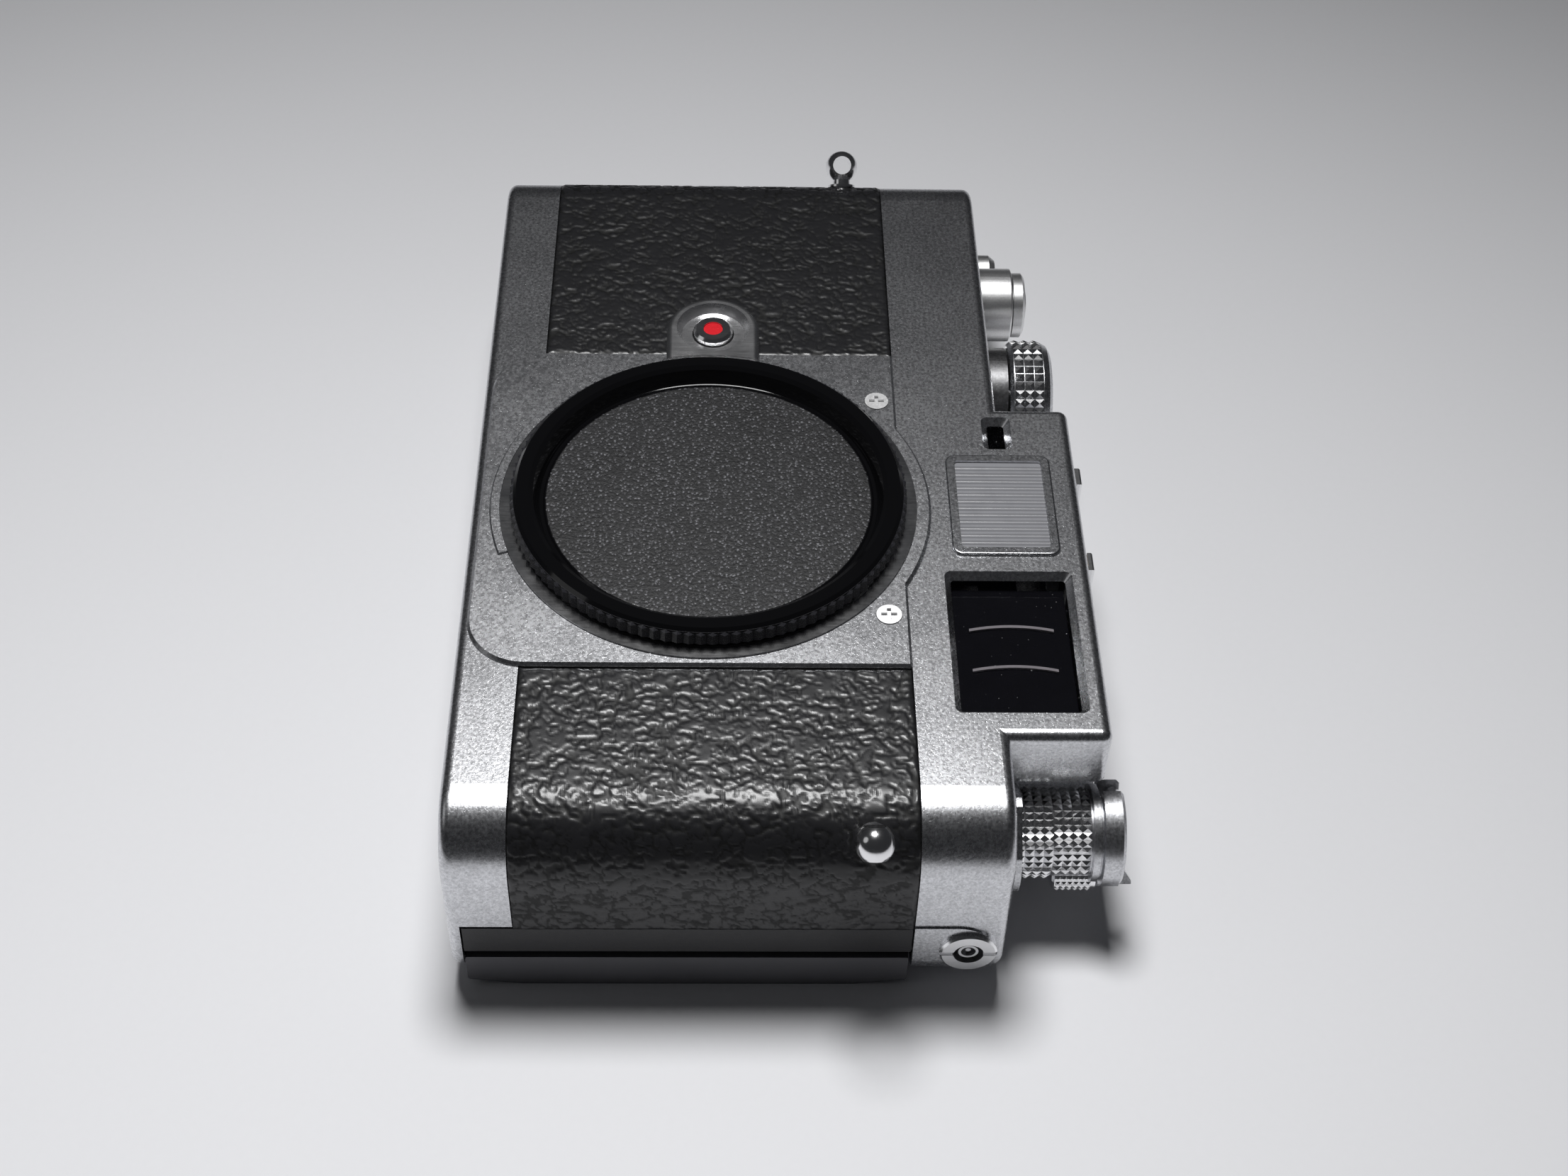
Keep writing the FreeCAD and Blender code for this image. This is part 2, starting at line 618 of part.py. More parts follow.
def cross_screw(x, y, head_r, head_h, z_top, length):
    head = rod_z(x, y, head_r, z_top - head_h, z_top)
    shank = rod_z(x, y, head_r * 0.5, z_top - head_h - length, z_top - head_h)
    screw = fuse([head, shank])
    w = head_r * 0.16
    reach = head_r * 0.62
    for cut in (box(x - reach, x + reach, y - w, y + w, z_top - head_h * 0.6, z_top + 1),
                box(x - w, x + w, y - reach, y + reach, z_top - head_h * 0.6, z_top + 1)):
        screw = screw.cut(cut)
    return screw


def make_front_screws():
    """Two screws in the front plate and four under the cap, in the mount ring."""
    screws = []
    for x in (-plate_screw_x, plate_screw_x):
        screws.append(cross_screw(x, plate_screw_y, plate_screw_r, 0.7, plate_top_z + 0.15, 1.3))
    for angle in screw_angles:
        x = screw_circle_r * math.cos(math.radians(angle))
        y = screw_circle_r * math.sin(math.radians(angle))
        screws.append(cross_screw(x, y, ring_screw_r, 0.6, flange_z - 0.02, 1.3))
    return group(screws)


def make_cap():
    """Dished cap: knurled rim, recessed disc and three bayonet tabs on a short tube."""
    z_low = flange_z + 0.12
    profile = [(0, cap_disc_z - 1.1), (mount_bore_r - 2.6, cap_disc_z - 1.1), (mount_bore_r - 2.0, z_low),
               (cap_r - 0.25, z_low), (cap_r, z_low + 0.4), (cap_r, cap_top_z - 0.5),
               (cap_r - 0.5, cap_top_z),
               (cap_disc_r + 2.1, cap_top_z), (cap_disc_r + 1.5, cap_top_z - 0.4),
               (cap_disc_r + 0.9, cap_disc_z + 0.2), (cap_disc_r + 0.7, cap_disc_z - 0.15),
               (cap_disc_r + 0.25, cap_disc_z - 0.15), (cap_disc_r, cap_disc_z), (0, cap_disc_z)]
    cap = revolve_z(profile, 0, 0)
    cap = cap.cut(rod_z(lock_pin_x, 0, lock_pin_r + 0.4, z_low - 1, z_low + 1.3))
    tube_top = cap_disc_z - 0.6
    tube_low = cap_tube_low_z
    tube = rod_z(0, 0, mount_bore_r - 2.0, tube_low, tube_top).cut(
        rod_z(0, 0, mount_bore_r - 3.4, tube_low - 1, cap_disc_z - 1.1))
    cap = fuse([cap, tube])
    for mid in tab_angles:
        tab = sector_ring(mount_bore_r - 3.0, mount_bore_r - 0.35, tube_low, tube_low + 1.1, mid, tab_half)
        cap = fuse([cap, tab])
    return cap


def make_shroud():
    z1 = front_z + 2.3
    body = shroud_body(0, front_z - skin - 0.05, z1)
    body = round_edges(body, 0.9, lambda p, e: abs(p.z - z1) < 0.01 and p.x < -28)
    body = body.cut(rod_z(0, 0, mount_ring_r + 0.05, flange_z - 0.5, z1 + 1))
    dish = revolve_z([(0, front_z + 0.9), (4.6, front_z + 0.9), (5.4, z1 + 0.01), (0, z1 + 0.01)],
                     lens_button_x, lens_button_y)
    body = body.cut(dish)
    return body.cut(rod_z(lens_button_x, lens_button_y, 3.1, 0, 60))


def make_lens_button():
    top = front_z + 2.0
    button = revolve_z([(0, front_z - 3.4), (3.8, front_z - 3.4), (3.8, front_z - 2.6), (2.9, front_z - 2.4),
                        (2.9, top - 0.4), (2.5, top), (1.45, top), (1.45, top - 0.5), (0, top - 0.5)],
                       lens_button_x, lens_button_y)
    link = box(lens_button_x + 3.0, lock_pin_x, -1.2, 1.2, front_z - 5.4, front_z - 4.4)
    foot = rod_z(lens_button_x, lens_button_y, 3.6, front_z - 5.4, front_z - 3.3)
    return fuse([button, foot, link])


def make_lock_pin():
    return rod_z(lock_pin_x, 0, lock_pin_r, front_z - 4.4, flange_z + 0.9)


# ---- windows and finder -------------------------------------------------------------------
def glass_behind(window, thick):
    x0, x1, y0, y1 = window
    b = window_bevel - 0.5
    z1 = front_z - cover_wall
    return prism_z(rect(x0 + b, x1 - b, y0 + b, y1 - b, 0.5), z1 - thick, z1)


def make_bezel():
    x0, x1, y0, y1 = frame_window
    ring = prism_z(rect(x0, x1, y0, y1, 1.5), front_z, front_z + 0.45)
    ring = round_edges(ring, 0.3, lambda p, e: abs(p.z - front_z - 0.45) < 0.01)
    b = bezel_band
    return ring.cut(prism_z(rect(x0 + b, x1 - b, y0 + b, y1 - b, 0.5), front_z - 1, front_z + 2))


def make_frame_window():
    x0, x1, y0, y1 = frame_window
    b = bezel_band + 0.02
    z0 = front_z - 1.2
    z1 = front_z + 0.05
    plate = box(x0 + b, x1 - b, y0 + b, y1 - b, z0, z1)
    pitch = 1.32
    count = int((x1 - x0 - 2 * b) / pitch)
    start = (x0 + x1) / 2 - count * pitch / 2
    ribs = []
    for i in range(count):
        x = start + (i + 0.5) * pitch
        rib = rod_y(x, z1 - 0.5, 0.72, y0 + b, y1 - b)
        ribs.append(rib.common(box(x - pitch / 2, x + pitch / 2, y0 + b, y1 - b, z0, z1 + 1)))
    edge = prism_z(rect(x0 + b, x1 - b, y0 + b, y1 - b, 0.5), z0, z1 + 1)
    return fuse([plate] + ribs).common(edge)


def make_prism():
    """Beam-splitting finder block between the front window and the eyepiece."""
    x0, x1, y0, y1 = view_window
    front = box(x0 + 1.2, x1 - 1.6, y0 + 1.0, y1 - 1.0, prism_low_z, front_z - cover_wall - 1.6)
    tunnel = box(eyepiece_x - 5.5, eyepiece_x + 5.5, eyepiece_y - 4.8, eyepiece_y + 4.8, 7.6,
                 prism_low_z)
    return fuse([front, tunnel])


def make_link_prism():
    """Glass bar that carries the rangefinder image across to the finder."""
    return box(-6.6, view_window[0] + 0.8, eyepiece_y - 2.6, eyepiece_y + 2.2, mirror_z - link_half,
               mirror_z + link_half)


def make_eyepiece():
    x0, x1 = eyepiece_x - eyepiece_w / 2, eyepiece_x + eyepiece_w / 2
    y0, y1 = eyepiece_y - eyepiece_h / 2, eyepiece_y + eyepiece_h / 2
    frame = prism_z(rect(x0, x1, y0, y1, 2.5), 0, cover_back_z)
    frame = round_edges(frame, 0.8, lambda p, e: abs(p.z) < 0.01)
    neck = prism_z(rect(x0 + 1.6, x1 - 1.6, y0 + 1.6, y1 - 1.6, 1.0), cover_back_z, cover_back_z + 3.4)
    hole = prism_z(rect(x0 + 2.6, x1 - 2.6, y0 + 2.6, y1 - 2.6, 0.8), -1, 20)
    return fuse([frame, neck]).cut(hole)


def make_eyepiece_lens():
    x0, x1 = eyepiece_x - eyepiece_w / 2 + 2.65, eyepiece_x + eyepiece_w / 2 - 2.65
    y0, y1 = eyepiece_y - eyepiece_h / 2 + 2.65, eyepiece_y + eyepiece_h / 2 - 2.65
    return prism_z(rect(x0, x1, y0, y1, 0.75), 1.2, 3.0)


def make_shoe():
    """Shoe let into the block from below: floor, two rails with lips and a stop at the front."""
    x0 = shoe_x - shoe_width / 2
    x1 = shoe_x + shoe_width / 2
    z1 = shoe_front_z
    z0 = shoe_front_z - shoe_depth
    top = block_top_y + shoe_rise
    wall = (shoe_width - shoe_slot_w) / 2
    base = box(x0 - shoe_flange, x1 + shoe_flange, shoe_low_y, shoe_floor_y, z0 - shoe_flange,
               z1 + shoe_flange)
    rails = []
    for a, b, lip_a, lip_b in ((x0, x0 + wall, x0, x0 + shoe_lip), (x1 - wall, x1, x1 - shoe_lip, x1)):
        rail = fuse([box(a, b, shoe_floor_y - 0.1, top, z0, z1),
                     box(lip_a, lip_b, shoe_floor_y + shoe_slot_h, top, z0, z1)])
        rails.append(round_edges(rail, 0.35, lambda p, e: abs(p.y - top) < 0.01))
    stop = box(x0 + 0.1, x1 - 0.1, shoe_floor_y - 0.1, shoe_floor_y + 1.1, z1 - 0.9, z1)
    shoe = fuse([base, stop] + rails)
    half_x, half_z = shoe_window()
    return shoe.cut(box(shoe_x - half_x, shoe_x + half_x, shoe_low_y - 1, shoe_floor_y + 0.01,
                        shoe_middle_z() - half_z, shoe_middle_z() + half_z))


def shoe_window():
    """Half sizes of the opening in the shoe's floor."""
    return 6.0, shoe_depth / 2 - 3.5


def shoe_middle_z():
    return shoe_front_z - shoe_depth / 2


def make_shoe_base():
    half_x, half_z = shoe_window()
    plan = rect(shoe_x - half_x + 0.05, shoe_x + half_x - 0.05, shoe_middle_z() - half_z + 0.05,
                shoe_middle_z() + half_z - 0.05, 0.6)
    plate = prism_y(plan, shoe_low_y, shoe_floor_y)
    rim = prism_y(rect(shoe_x - half_x - 1, shoe_x + half_x + 1, shoe_middle_z() - half_z - 1,
                       shoe_middle_z() + half_z + 1, 0.6), shoe_low_y - 0.5, shoe_low_y)
    return fuse([plate, rim]).cut(rod_y(shoe_x, shoe_middle_z(), 1.9, shoe_low_y - 2, block_top_y + 2))


def make_shoe_contact():
    return rod_y(shoe_x, shoe_middle_z(), 1.85, shoe_low_y - 0.5, shoe_floor_y + 0.12)


# ---- rewind side ----------------------------------------------------------------------------
def at_crank(shape):
    """Turn a shape made along +X round the knob's axis to where the folded arm lies."""
    shape.rotate(V(0, 0, 0), Y_AXIS, crank_turn)
    shape.translate(V(rewind_x, 0, spindle_z))
    return shape


def make_rewind_base():
    """Low ring under the knob, with a taller stretch towards the rear."""
    top = rewind_deck_y + 2.0
    ring = rod_y(rewind_x, spindle_z, 6.3, rewind_deck_y, rewind_deck_y + 0.4)
    tall = prism_y([(-7.6, -4.4, 1.2), (5.4, -4.4, 1.2), (7.4, -1.6, 1.0), (7.4, 4.6, 1.6), (3.0, 7.0, 1.0),
                    (-4.6, 7.0, 1.0)], rewind_deck_y, top).common(rod_y(0, 0, 7.9, rewind_deck_y, top))
    tall.rotate(V(0, 0, 0), Y_AXIS, crank_turn - 22)
    tall.translate(V(rewind_x, 0, spindle_z))
    base = fuse([ring, tall])
    base = base.cut(rod_y(rewind_x, spindle_z, rewind_knurl_r + clear, rewind_deck_y + 0.4, top + 1))
    base = base.cut(rod_y(rewind_x, spindle_z, shaft_r + 0.4, rewind_deck_y - 1, top + 1))
    block = box(rewind_x - 20, block_near_x + 0.05, rewind_deck_y - 1, top + 1, 0, front_z)
    return base.cut(block.cut(rod_y(rewind_x, spindle_z, rewind_pocket_r, 0, 60)))


def crank_channel(grow):
    """The folded arm's outline, made wider by grow, from its pin past the handle."""
    end = rewind_cap_r - 0.05 if grow == 0 else rewind_cap_r + 2
    return [(crank_pin_u + 0.9 - grow, -1.5 - grow, 0.3), (0, -2.3 - grow, 3.0), (end, -2.6 - grow, 0.3),
            (end, 2.6 + grow, 0.3), (0, 2.3 + grow, 3.0), (crank_pin_u + 0.9 - grow, 1.5 + grow, 0.3)]


def make_rewind_knob():
    profile = [(shaft_r - 0.01, knob_low_y), (rewind_knurl_r - 0.3, knob_low_y),
               (rewind_knurl_r, knob_low_y + 0.4), (rewind_knurl_r, knurl_top_y),
               (rewind_cap_r - 0.6, knurl_top_y + 0.1),
               (rewind_cap_r - 0.6, 51.0),
               (rewind_cap_r - 0.8, 51.1), (rewind_cap_r - 0.8, 51.2), (rewind_cap_r, 51.4),
               (rewind_cap_r, rewind_top_y - 0.4), (rewind_cap_r - 0.4, rewind_top_y),
               (shaft_r - 0.01, rewind_top_y)]
    knob = revolve_y(profile, rewind_x, spindle_z)
    channel = at_crank(prism_y(crank_channel(clear), crank_low_y - 0.25, rewind_top_y + 1))
    back = at_crank(box(-rewind_cap_r - 1, crank_pin_u + 2, crank_low_y - 0.25, rewind_top_y + 1, -1.8, 1.8))
    pocket = at_crank(rod_y(handle_u, 0, handle_r + clear, handle_low_y - clear, rewind_top_y + 1))
    way_out = at_crank(box(handle_u, handle_u + 8, handle_low_y - clear, rewind_top_y + 1,
                           -handle_r - clear, handle_r + clear))
    for shape in (channel, back, pocket, way_out):
        knob = knob.cut(shape)
    pin = Part.makeCylinder(crank_pin_r, 5.6, V(crank_pin_u, crank_pin_y, -2.8), Z_AXIS)
    return fuse([knob, at_crank(pin)])


def make_rewind_shaft():
    """Shaft inside the knob, with the fork that turns the film cassette's spool."""
    y_low = bay_half - 5.0
    shaft = rod_y(rewind_x, spindle_z, spindle_r, y_low + 3.0, knob_low_y + 1.0)
    head = rod_y(rewind_x, spindle_z, shaft_r - 0.02, knob_low_y, crank_low_y - 0.3)
    fork = box(rewind_x - 1.9, rewind_x + 1.9, y_low, y_low + 4.0, spindle_z - 0.6, spindle_z + 0.6)
    slot = box(rewind_x - 0.8, rewind_x + 0.8, y_low - 1, y_low + 2.2, spindle_z - 1, spindle_z + 1)
    return fuse([shaft, head, fork]).cut(slot)


def make_rewind_sleeve():
    """Sliding sleeve round the shaft; lifting it draws the latch rod clear of the door."""
    bore = rod_y(rewind_x, spindle_z, spindle_r + fit_gap, 0, 60)
    ring = rod_y(rewind_x, spindle_z, 3.2, chassis_top_y + 0.6, chassis_top_y + 3.0)
    arm = box(rewind_x, latch_x + latch_half, chassis_top_y + 0.6, chassis_top_y + 2.2, rear_face_z,
              spindle_z)
    x0, x1 = latch_x - latch_half, latch_x + latch_half
    rod = box(x0, x1, -4.0, chassis_top_y + 0.8, rear_face_z, rear_face_z + 1.5)
    hook = box(x0, x1, -4.0, -2.4, film_z - 0.8, rear_face_z + 0.4)
    return fuse([ring, arm, rod, hook]).cut(bore)


def make_crank():
    """Fold-out arm let into the knob, with a hinge eye and a raised finger tab."""
    eye_r = 0.9
    arm = prism_y(crank_channel(0), crank_low_y, rewind_top_y).common(
        rod_y(0, 0, rewind_cap_r, crank_low_y, rewind_top_y))
    eye = Part.makeCylinder(eye_r, 3.0, V(crank_pin_u, crank_pin_y, -1.5), Z_AXIS)
    link = box(crank_pin_u, crank_pin_u + 1.4, crank_pin_y - 0.7, crank_pin_y + eye_r, -1.5, 1.5)
    tab = Part.Face(Part.makePolygon([V(3.2, rewind_top_y - 0.1, 1.2), V(6.4, rewind_top_y - 0.1, 1.2),
                                      V(6.4, rewind_top_y + 1.7, 1.2), V(5.9, rewind_top_y + 1.7, 1.2),
                                      V(3.2, rewind_top_y - 0.1, 1.2)])).extrude(V(0, 0, 1.0))
    crank = fuse([arm, eye, link, tab])
    crank = crank.cut(Part.makeCylinder(crank_pin_r + fit_gap, 5, V(crank_pin_u, crank_pin_y, -2.5), Z_AXIS))
    return at_crank(crank.cut(rod_y(handle_u, 0, handle_stem_r + fit_gap, 0, 80)))


def make_crank_handle():
    top = crank_low_y - 0.15
    body = rod_y(handle_u, 0, handle_r, handle_low_y, top)
    body = chamfer_edges(body, 0.35, lambda p, e: abs(p.y - handle_low_y) < 0.01)
    stem = rod_y(handle_u, 0, handle_stem_r, top - 0.1, rewind_top_y + 0.1)
    return at_crank(fuse([body, stem]))


# ---- release side -----------------------------------------------------------------------------
def make_advance_lever():
    """Hub on the deck, with an arm that leans to the rear edge."""
    y0 = lever_low_y
    hub = rod_y(advance_x, spindle_z, advance_hub_r, y0, advance_hub_top_y)
    hub = round_edges(hub, 0.3, lambda p, e: abs(p.y - advance_hub_top_y) < 0.01)
    spindle = rod_y(advance_x, spindle_z, 3.4, release_deck_y - 2.2, y0 + 0.1)
    arm = prism_y([(0, -lever_half_w, 0), (lever_reach, -lever_half_w * 0.75, 0.8),
                   (lever_reach, lever_half_w * 0.75, 0.8), (0, lever_half_w, 0)], y0, y0 + 2.0)
    arm.rotate(V(0, 0, 0), Y_AXIS, lever_lean)
    arm.translate(V(advance_x, 0, spindle_z))
    lever = fuse([hub, spindle, arm])
    return lever.cut(rod_y(advance_x, spindle_z, spindle_r + fit_gap, 0, 60)).cut(
        rod_y(advance_x, spindle_z, 3.9, advance_hub_top_y - 1.4, 60))


def make_advance_tip():
    """Moulded thumb piece on the end of the arm."""
    x0 = advance_x + lever_reach - 5.0
    y0 = lever_low_y
    tip = prism_y([(x0, cover_back_z - 1.5, 0.8), (x0 + 8.0, cover_back_z - 2.6, 1.6),
                   (x0 + 8.6, cover_back_z + 0.6, 1.4), (x0 + 0.4, cover_back_z + 2.9, 0.8)], y0 - 0.1,
                   y0 + 4.2)
    tip = round_edges(tip, 0.6, lambda p, e: abs(p.y - y0 - 4.2) < 0.01)
    return tip.cut(make_advance_lever())


def make_release_collar():
    """Fixed threaded collar that the button travels in, on a tube through the hub."""
    top = release_top_y - 0.4
    collar = revolve_y([(2.9 + fit_gap, advance_hub_top_y + 0.25),
                        (release_collar_r, advance_hub_top_y + 0.25),
                        (release_collar_r, top - 0.4), (release_collar_r - 0.5, top), (2.9 + fit_gap, top)],
                       advance_x, spindle_z)
    neck = rod_y(advance_x, spindle_z, 3.6, advance_hub_top_y - 1.1, advance_hub_top_y + 0.3)
    tube = rod_y(advance_x, spindle_z, spindle_r, release_deck_y - 5.0, advance_hub_top_y - 1.0)
    stem = fuse([neck, tube])
    stem = stem.cut(rod_y(advance_x, spindle_z, 1.0, 0, 60))
    stem = stem.cut(rod_y(advance_x, spindle_z, 2.9 + fit_gap, advance_hub_top_y - 0.4, 60))
    plate = rod_y(advance_x, spindle_z, 5.0, release_deck_y - 6.0, release_deck_y - 5.0)
    plate = plate.cut(rod_y(advance_x, spindle_z, 1.0, 0, 60))
    return fuse([collar, stem, plate])


def make_release_button():
    """Dished button with a tapered, threaded cable socket."""
    low = advance_hub_top_y + 1.3
    y1 = release_top_y
    button = revolve_y([(1.5, low), (2.85, low), (2.85, y1 - 0.35), (2.5, y1), (1.5, y1 - 0.25)],
                       advance_x, spindle_z)
    stem = rod_y(advance_x, spindle_z, 0.8, release_deck_y - 3.0, low)
    cup = rod_y(advance_x, spindle_z, 1.5, low, y1).cut(rod_y(advance_x, spindle_z, cable_r, low + 0.3,
                                                              y1 + 1))
    return fuse([button, cup, stem, rod_y(advance_x, spindle_z, 2.85, low, low + 0.3)])


def make_dial():
    low = release_deck_y + 4.0
    profile = [(shaft_r - 0.6, low), (dial_r - 0.5, low), (dial_r, low + 0.5), (dial_r, dial_top_y - 1.4),
               (dial_r - 0.5, dial_top_y - 0.5), (dial_r - 1.3, dial_top_y), (shaft_r - 0.6, dial_top_y)]
    dial = revolve_y(profile, dial_x, dial_z)
    cap = rod_y(dial_x, dial_z, shaft_r - 0.5, low, dial_top_y - 0.3)
    shaft = rod_y(dial_x, dial_z, shaft_r - 0.6, release_deck_y - 4.0, low + 0.1)
    return fuse([dial, cap, shaft])


def make_dial_collar():
    """Fixed ring with the setting index, below the dial."""
    return rod_y(dial_x, dial_z, dial_r - 0.9, release_deck_y, release_deck_y + 3.7).cut(
        rod_y(dial_x, dial_z, shaft_r - 0.6 + fit_gap, 0, 80))


def make_counter_housing():
    profile = [(counter_r - 0.9, release_deck_y), (counter_r, release_deck_y),
               (counter_r, counter_top_y - 1.0),
               (counter_r - 0.8, counter_top_y), (counter_r - 0.9, counter_top_y)]
    return revolve_y(profile, counter_x, counter_z)


def make_counter_lens():
    return rod_y(counter_x, counter_z, counter_r - 0.93, counter_top_y - 1.6, counter_top_y - 0.2)


def make_counter_disc():
    disc = rod_y(advance_x, spindle_z, 9.8, release_deck_y - 4.6, release_deck_y - 3.8)
    return disc.cut(rod_y(advance_x, spindle_z, spindle_r + fit_gap, 0, 60))


def make_spool():
    half = bay_half - 0.5
    core = rod_y(advance_x, spindle_z, 6.5, -half, half)
    for y in (-half, half - 1.2):
        core = fuse([core, rod_y(advance_x, spindle_z, 9.5, y, y + 1.2)])
    for turn in range(6):
        groove = box(-0.9, 0.9, -half + 3, half - 3, 4.6, 8.0)
        groove.rotate(V(0, 0, 0), Y_AXIS, 60 * turn)
        groove.translate(V(advance_x, 0, spindle_z))
        core = core.cut(groove)
    axle = rod_y(advance_x, spindle_z, spindle_r, chassis_low_y + 0.4, chassis_top_y + 0.4)
    return fuse([core, axle])


def make_sprocket():
    teeth = 8
    body = rod_y(sprocket_x, sprocket_z, 4.4, -18.6, 18.6)
    for low, high in ((-18.2, -14.4), (14.4, 18.2)):
        body = fuse([body, rod_y(sprocket_x, sprocket_z, 5.5, low, high)])
        for i in range(teeth):
            tooth = box(-0.7, 0.7, (low + high) / 2 - 0.8, (low + high) / 2 + 0.8, 5.2, 6.5)
            tooth.rotate(V(0, 0, 0), Y_AXIS, 360 * i / teeth)
            tooth.translate(V(sprocket_x, 0, sprocket_z))
            body = fuse([body, tooth])
    axle = rod_y(sprocket_x, sprocket_z, spindle_r, chassis_low_y + 0.4, chassis_top_y + 0.4)
    return fuse([body, axle])


# ---- rear door -----------------------------------------------------------------------------
def make_door():
    """Back with a flat middle, sloped long edges, a lip at the free end and a hinge barrel."""
    x0 = hinge_x + hinge_r + 0.9
    x1 = near_x - 0.2
    y0 = door_bottom_y + 0.2
    y1 = upper_edge_y - 0.4
    rise = 1.1
    slope = 7.0
    shell = outline([(y0, rise, 0.4), (y0 + slope, 0, 8.0), (y1 - slope, 0, 8.0), (y1, rise, 0.4),
                     (y1, rise + door_back_wall, 0.3), (y1 - slope, door_back_wall, 8.0),
                     (y0 + slope, door_back_wall, 8.0), (y0, rise + door_back_wall, 0.3)],
                    lambda u, v: V(x0, u, v)).extrude(V(x1 - x0, 0, 0))
    lip = prism_x([(y0, rise, 0.5), (y0 + slope, 0, 8.0), (y1 - slope, 0, 8.0), (y1, rise, 0.5),
                   (y1, door_rim_z, 0.3), (y0, door_rim_z, 0.3)], x1 - 1.1, x1)
    rims = [box(x0, x1 - 0.5, y0, y0 + 1.0, rise + 0.5, rear_face_z - 0.5),
            box(x0, x1 - 0.5, y1 - 1.0, y1, rise + 0.5, rear_face_z - 0.5)]
    ky0 = door_bottom_y + 9.0 + door_gap
    ky1 = upper_edge_y - 9.2 - door_gap
    barrel = rod_y(hinge_x, hinge_z, hinge_r, ky0, ky1)
    web = box(hinge_x, x0 + 0.5, ky0, ky1, 0.7, 0.7 + door_back_wall)
    door = fuse([shell, lip, barrel, web] + rims)
    door = door.cut(rod_y(hinge_x, hinge_z, hinge_pin_r + fit_gap, ky0 - 1, ky1 + 1))
    bosses = []
    for x in (-24.0, 23.0):
        for y in (-9.0, 9.0):
            bosses.append(rod_z(x, y, 1.4, door_back_wall - 0.2, door_back_wall + 0.5))
    door = fuse([door] + bosses)
    catch = box(latch_x - latch_half - 0.4, latch_x + latch_half + 0.4, -8.0, -4.4, door_back_wall - 0.2,
                film_z + 0.4)
    hollow = box(latch_x - latch_half, latch_x + latch_half, -6.9, -4.3, door_back_wall + 0.2, film_z - 0.5)
    door = fuse([door, catch]).cut(hollow)
    wx0, wx1, wy0, wy1 = film_window
    door = door.cut(box(wx0, wx1, wy0, wy1, -1, 10))
    return door.cut(prism_z(rect(*door_panel, 2.0), -1, door_panel_depth + 0.02))


def make_door_cover():
    """Grained panel let into the middle of the door."""
    return prism_z(rect(*door_panel, 2.0), 0, door_panel_depth)


def make_film_window():
    wx0, wx1, wy0, wy1 = film_window
    return box(wx0 + 0.02, wx1 - 0.02, wy0 + 0.02, wy1 - 0.02, 0.5, door_back_wall - 0.2)


def make_pressure_plate():
    return prism_z(rect(-31.5, 30.5, -16.6, 16.6, 1.5), film_z - 1.05, film_z - 0.25)


# ---- shutter, rangefinder and base fittings ---------------------------------------------------
def make_shutter_frame():
    frame = box(-shutter_half_w, shutter_half_w, -shutter_half_h, shutter_half_h, shutter_z0, shutter_z1)
    frame = frame.cut(box(-21.4, 21.4, -25.0, 25.0, shutter_z0 + 0.9, shutter_z1 - 0.9))
    return frame.cut(box(-18.2, 18.2, -12.2, 12.2, 0, 60))


def make_blade(i):
    z0 = shutter_z0 + blade_layers[i]
    return box(-20.8, 20.8, blade_low_y[i], blade_low_y[i] + blade_h, z0, z0 + blade_thick)


def make_roller_arm():
    pivot = rod_x(roller_pivot_y, roller_pivot_z, 1.6, -3.4, 3.4)
    arm = Part.Face(Part.makePolygon([V(-1.0, roller_pivot_y - 1.4, roller_pivot_z),
                                      V(-1.0, roller_y - 0.9, roller_z),
                                      V(-1.0, roller_y + 0.9, roller_z + 0.9),
                                      V(-1.0, roller_pivot_y + 1.0, roller_pivot_z + 1.2),
                                      V(-1.0, roller_pivot_y - 1.4, roller_pivot_z)])).extrude(V(-1.2, 0, 0))
    pin = rod_x(roller_y, roller_z, 0.8, -2.2, 2.2)
    trunnions = rod_x(roller_pivot_y, roller_pivot_z, 0.7, -5.0, 5.0)
    return fuse([pivot, arm, pin, trunnions])


def make_roller():
    return rod_x(roller_y, roller_z, 2.4, -0.7, 2.0).cut(rod_x(roller_y, roller_z, 0.8 + fit_gap, -9, 9))


def make_mirror():
    plate = box(-4.0, 4.0, eyepiece_y - 3.0, eyepiece_y + 2.6, -0.8, 0.8)
    plate.rotate(V(0, 0, 0), Y_AXIS, 45)
    plate.translate(V(mirror_x, 0, mirror_z))
    post = rod_y(mirror_x, mirror_z, 1.2, chassis_top_y + 0.4, eyepiece_y - 2.8)
    return fuse([plate, post])


def make_tripod_bush():
    bush = rod_y(tripod_x, spindle_z, 6.0, base_y, -26.5)
    return bush.cut(rod_y(tripod_x, spindle_z, tripod_r, base_y - 1, base_y + tripod_depth))


def make_battery_cover():
    cover = rod_y(battery_x, battery_z, battery_r, base_y, base_y + 2.4)
    cover = chamfer_edges(cover, 0.3, lambda p, e: abs(p.y - base_y) < 0.01)
    return cover.cut(box(battery_x - 5.5, battery_x + 5.5, base_y - 1, base_y + 0.9, battery_z - 0.7,
                         battery_z + 0.7))


def make_cells():
    return rod_y(battery_x, battery_z, 5.8, base_y + 2.7, -22.3)


def make_rewind_release():
    return fuse([rod_y(rewind_release_x, rewind_release_z, 2.1, base_y + 0.1, chassis_low_y + 0.6),
                 rod_y(rewind_release_x, rewind_release_z, 2.8, base_y + cover_wall + 0.1,
                       base_y + cover_wall + 0.7)])


